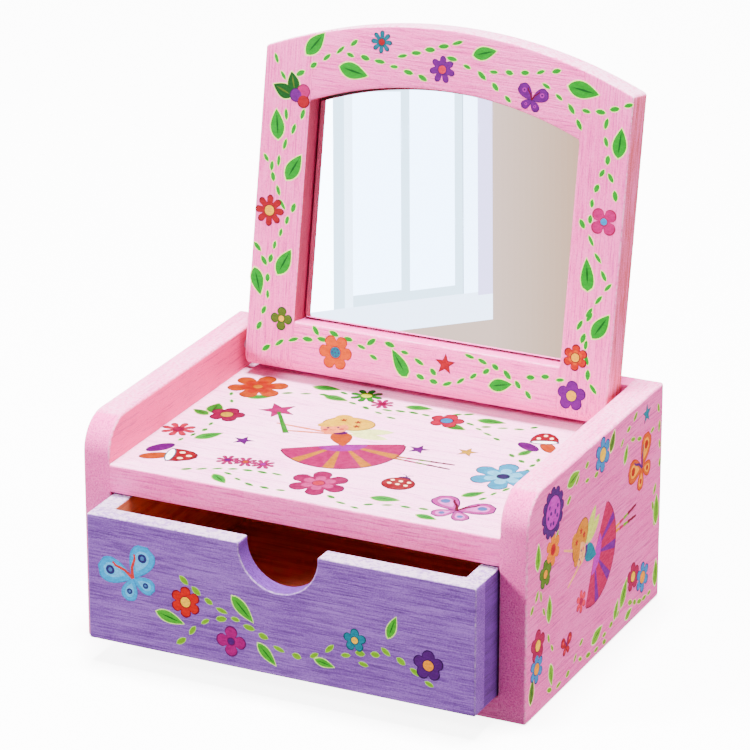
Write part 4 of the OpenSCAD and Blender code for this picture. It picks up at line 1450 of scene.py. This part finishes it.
class TRINKET_OT_drawer(Operator):
    """Build the drawer: lilac outside, stained inside"""

    bl_idname = "trinket.drawer"
    bl_label = "Drawer"

    def execute(self, context):
        sizes = settings()[0]
        edge, seam = sizes.drawer_edge, sizes.seam
        points, faces, wear_and_sheen = drawer_face()
        # Paler top edges of the drawer front: painted highlight of the top light.
        wear_and_sheen = lit_top(points, 0.5 * wear_and_sheen, 1.4)
        brim = points[:, 2].max() - 0.6 * MM
        finishes = [paint("lilac", "x"), stained_wood("x"), paint("lilac_shade", "x")]

        # The back face takes the stain; the walls of the finger notch take the darker lilac, painted shade.
        def pick(normals, middles):
            notch = (np.abs(middles[:, 0]) < sizes.notch + MM) & (middles[:, 2] < brim)
            notch &= (normals[:, 2] > -0.1) & (np.abs(normals[:, 1]) < 0.6)
            return (normals[:, 1] > 0.9) + 2 * notch

        add_piece("drawer_front_board", points, faces, "drawer", finishes, wear_and_sheen,
                  choose=pick, replaces=("drawer_front",))
        # The outer faces of the drawer sides take the darker lilac: painted shade.
        boards = (
            ("drawer_left_side", "y", ((edge, edge), (seam, edge), (edge, edge)), inside_and_outside(1)),
            ("drawer_right_side", "y", ((edge, edge), (seam, edge), (edge, edge)), inside_and_outside(-1)),
            ("drawer_back", "x", ((seam, seam), (edge, edge), (edge, edge)), facing(1, -1)),
        )
        for node, along, soft, choose in boards:
            outer = ((node == "drawer_left_side", 0, 0), (node == "drawer_right_side", 0, 0))
            points, faces, wear_and_sheen = plain_board(node, soft, outer)
            # Paler top edges of the drawer boards: painted highlight of the top light.
            wear_and_sheen = lit_top(points, 0.5 * wear_and_sheen, 1.4)
            finishes = [paint("lilac", along), stained_wood(along), paint("lilac_shade", along)]
            add_piece(node + "_board", points, faces, "drawer", finishes, wear_and_sheen,
                      choose=choose, replaces=(node,))
        dress_node("drawer_bottom", stained_wood("x"))
        dress_node("drawer_dowels", bare_wood("y"))
        dress_node("drawer_back_brads", steel())
        return {"FINISHED"}


class TRINKET_OT_mirror_frame(Operator):
    """Build the mirror frame's two uprights and two rails"""

    bl_idname = "trinket.mirror_frame"
    bl_label = "Mirror frame"

    def execute(self, context):
        lean = settings()[0].lean
        for node, shape, along, inside in (
            ("frame_left_stile", upright(True), "z", (1, 0, 0)),
            ("frame_right_stile", upright(False), "z", (-1, 0, 0)),
            ("frame_top_rail", top_rail(), "x", (0, 0, -1)),
            ("frame_bottom_rail", bottom_rail(), "x", (0, 0, 2)),
        ):
            points, faces, wear_and_sheen = shape

            # Faces that look into the opening take the dark opening pink, painted shade; the outer sides
            # take the darker, warmer side pink, painted shade with a painted warm reflection.
            def choose(normals, middles, inside=inside):
                facing = normals @ np.array(inside)
                sides = np.abs(normals[:, 0]) > 0.9
                return np.where(facing > 0.6, 1, np.where(sides, 2, 0)) * (abs(inside[2]) < 2)

            finishes = [paint(kind, along, lean) for kind in ("pink", "pink_opening_shade", "pink_side_shade")]
            add_piece(node + "_painted", points, faces, "mirror_frame", finishes, 0.7 * wear_and_sheen,
                      choose=choose, replaces=(node,))
        dress_node("frame_dowels", bare_wood("x"))
        dress_node("left_pivot_pin", steel())
        dress_node("right_pivot_pin", steel())
        return {"FINISHED"}


class TRINKET_OT_mirror(Operator):
    """Build the silvered glass and finish its backing"""

    bl_idname = "trinket.mirror"
    bl_label = "Mirror"

    def execute(self, context):
        points, faces, wear_and_sheen = glass_pane()
        add_piece("silvered_pane", points, faces, "mirror_frame", [mirror_glass()], wear_and_sheen,
                  replaces=("mirror_glass",))
        dress_node("mirror_backing", hardboard())
        dress_node("backing_brads", steel())
        return {"FINISHED"}


class TRINKET_OT_print(Operator):
    """Print the garlands and dancers on the frame, deck, sides and drawer"""

    bl_idname = "trinket.print"
    bl_label = "Printed flowers"

    def execute(self, context):
        print_on_frame()
        print_on_deck()
        print_on_side(True)
        print_on_side(False)
        print_on_drawer()
        return {"FINISHED"}


# ---- Stage ----

# The lit window that the mirror shows: left, right, foot, top (millimetres on a card that leans
# like the view does) and light, from the sill to the nearest pane. The wall behind it is a row of
# strips that pass from one light to the other.
CARD_LEFT, CARD_RIGHT, CARD_FOOT, CARD_TOP = -160, 170, -80, 260
SILL_SLOPE = 0.119
WINDOW_PARTS = (
    (CARD_LEFT, 37.5, 45.5, CARD_TOP, (4.0, 4.9, 6.7)),
    (30.1, 37.5, 58.5, CARD_TOP, (2.8, 2.6, 4.6)),
    (-42.6, 22.7, 60.2, CARD_TOP, (2.6, 3.7, 4.8)),
    (-37.0, -32.8, 60.2, CARD_TOP, (4.2, 5.6, 7.4)),
    (22.7, 30.1, 60.2, CARD_TOP, (5.4, 7.4, 10.6)),
    (22.5, 22.9, 60.2, CARD_TOP, (1.3, 1.6, 2.1)),
    (CARD_LEFT, -42.6, 60.2, CARD_TOP, (11.0, 13.0, 16.0)),
    (-32.8, -8.5, 66.0, 167, (6.0, 8.4, 12.0)),
    (-4.1, 18.5, 65.0, 169, (6.0, 8.4, 12.0)),
)
WALL_LIGHT_NEAR = np.array((1.75, 1.3, 1.12))
WALL_LIGHT_FAR = np.array((1.3, 0.84, 0.58))
WALL_STRIPS = 16
WALL_START, WALL_STEP = 36, 3
SILL_LEVEL_AT = -20
STRIP_GAP = 0.2


def glow(name, rgb):
    """A plain glowing material."""
    material = bpy.data.materials.new(name)
    material.use_nodes = True
    tree = material.node_tree
    tree.nodes.remove(tree.nodes["Principled BSDF"])
    light = tree.nodes.new("ShaderNodeEmission")
    strength = max(rgb)
    light.inputs["Color"].default_value = (*(part / strength for part in rgb), 1)
    light.inputs["Strength"].default_value = strength
    tree.links.new(light.outputs[0], tree.nodes["Material Output"].inputs["Surface"])
    return material


def window_card():
    """A card with a window on it, 0.8 m in front of the mirror at the front left, out of view."""
    middle = np.array([-0.3116, -0.6848, 0.0])
    across = np.array([0.9198, -0.3925, 0.0])
    towards_mirror = np.array([0.3925, 0.9198, 0.0])
    tilt = math.radians(8.76)

    def place(x, y, layer):
        a = x * math.cos(tilt) - y * math.sin(tilt)
        h = x * math.sin(tilt) + y * math.cos(tilt)
        return middle + across * a * MM + np.array([0, 0, h * MM]) + towards_mirror * layer * MM

    parts = []
    for k in range(WALL_STRIPS):
        light = WALL_LIGHT_NEAR + (WALL_LIGHT_FAR - WALL_LIGHT_NEAR) * k / (WALL_STRIPS - 1)
        left = WALL_START + WALL_STEP * k if k else CARD_LEFT
        parts.append((left, CARD_RIGHT, CARD_FOOT, CARD_TOP, light, 0.0))
    parts += [(*part, SILL_SLOPE) for part in WINDOW_PARTS]
    for k, (left, right, foot, top, light, slope) in enumerate(parts):
        low_left, low_right = (foot + slope * (x - SILL_LEVEL_AT) for x in (left, right))
        corners = [(left, low_left), (right, low_right), (right, top), (left, top)]
        mesh = bpy.data.meshes.new(f"window_strip_{k}")
        mesh.from_pydata([place(x, y, STRIP_GAP * k).tolist() for x, y in corners], [], [(0, 1, 2, 3)])
        mesh.materials.append(glow(f"window_light_{k}", light))
        strip = bpy.data.objects.new(f"window_strip_{k}", mesh)
        bpy.context.scene.collection.objects.link(strip)
        strip.visible_camera = False
        strip.visible_diffuse = False
        strip.visible_shadow = False


def add_lamp(name, place, aim, power, width, tone):
    """A square soft light."""
    lamp = bpy.data.lights.new(name, "AREA")
    lamp.energy, lamp.size, lamp.color = power, width, tone
    holder = bpy.data.objects.new(name, lamp)
    holder.location = place
    holder.rotation_euler = (Vector(aim) - Vector(place)).to_track_quat("-Z", "Y").to_euler()
    holder.visible_glossy = name != "top_light"
    bpy.context.scene.collection.objects.link(holder)
    return holder


class TRINKET_OT_stage(Operator):
    """Set up the pale floor, the soft lights, the window card and the camera"""

    bl_idname = "trinket.stage"
    bl_label = "Stage"

    def execute(self, context):
        stage = settings()[3]
        aim = Vector(stage.look_at)
        mesh = bpy.data.meshes.new("floor")
        reach = 6.0
        ground = [(-reach, -reach, 0), (reach, -reach, 0), (reach, reach, 0), (-reach, reach, 0)]
        mesh.from_pydata(ground, [], [(0, 1, 2, 3)])
        paper = bpy.data.materials.new("pale_paper")
        paper.use_nodes = True
        surface = paper.node_tree.nodes["Principled BSDF"]
        surface.inputs["Base Color"].default_value = (*[stage.floor_shade] * 3, 1)
        surface.inputs["Roughness"].default_value = 0.9
        surface.inputs["Specular IOR Level"].default_value = 0.1
        surface.inputs["Emission Color"].default_value = (1, 1, 1, 1)
        surface.inputs["Emission Strength"].default_value = stage.floor_glow
        mesh.materials.append(paper)
        floor = bpy.data.objects.new("floor", mesh)
        floor.visible_diffuse = False
        floor.visible_glossy = False
        context.scene.collection.objects.link(floor)

        for name, place, lit, power, width, tone in (
            ("top_light", (0.0, 0.1, 2.5), (0, 0.02, 0), stage.top_power, 0.7, (1.0, 1.0, 1.0)),
            ("key_light", (-1.05, -1.05, 0.95), (0, 0, 0.08), stage.key_power, 0.35, (1.0, 0.98, 0.97)),
            ("side_light", (1.3, 0.15, 0.35), (0, 0.02, 0.07), stage.side_power, 0.8, (1.0, 0.95, 0.93)),
        ):
            add_lamp(name, place, lit, power, width, tone)
        window_card()

        world = bpy.data.worlds.new("pale_room")
        world.use_nodes = True
        world.node_tree.nodes["Background"].inputs["Color"].default_value = (1.0, 0.985, 0.99, 1)
        world.node_tree.nodes["Background"].inputs["Strength"].default_value = stage.sky
        context.scene.world = world

        lens = bpy.data.cameras.new("camera")
        lens.lens, lens.sensor_width = stage.lens, 36
        lens.clip_start, lens.clip_end = 0.05, 20
        camera = bpy.data.objects.new("camera", lens)
        turn, rise = stage.azimuth, stage.elevation
        back = Vector((math.sin(turn) * math.cos(rise), -math.cos(turn) * math.cos(rise), math.sin(rise)))
        camera.location = aim + back * stage.distance
        camera.rotation_euler = (-back).to_track_quat("-Z", "Y").to_euler()
        context.scene.collection.objects.link(camera)
        context.scene.camera = camera
        return {"FINISHED"}


class TRINKET_PT_panel(Panel):
    """Lists the steps and the sizes of the trinket box"""

    bl_label = "Trinket box"
    bl_idname = "TRINKET_PT_panel"
    bl_space_type = "VIEW_3D"
    bl_region_type = "UI"
    bl_category = "Trinket box"

    def draw(self, context):
        for step in STEPS:
            self.layout.operator(step.bl_idname)
        for group in settings():
            column = self.layout.column()
            for name in group.__annotations__:
                column.prop(group, name)


STEPS = (
    TRINKET_OT_casing, TRINKET_OT_drawer, TRINKET_OT_mirror_frame, TRINKET_OT_mirror,
    TRINKET_OT_print, TRINKET_OT_stage,
)
SETTING_GROUPS = {
    "trinket_sizes": TrinketBoxSizes, "trinket_colours": TrinketBoxColours,
    "trinket_print": TrinketBoxPrint, "trinket_stage": TrinketBoxStage,
}


def register():
    """Registers the settings, the steps and the panel."""
    for name, group in SETTING_GROUPS.items():
        bpy.utils.register_class(group)
        setattr(bpy.types.Scene, name, PointerProperty(type=group))
    for part in (*STEPS, TRINKET_PT_panel):
        bpy.utils.register_class(part)


def unregister():
    """Removes what register() added."""
    for part in (TRINKET_PT_panel, *reversed(STEPS)):
        bpy.utils.unregister_class(part)
    for name, group in SETTING_GROUPS.items():
        delattr(bpy.types.Scene, name)
        bpy.utils.unregister_class(group)


def main():
    """Runs every step."""
    register()
    bpy.ops.trinket.casing()
    bpy.ops.trinket.drawer()
    bpy.ops.trinket.mirror_frame()
    bpy.ops.trinket.mirror()
    bpy.ops.trinket.print()
    bpy.ops.trinket.stage()


if __name__ == "__main__":
    main()
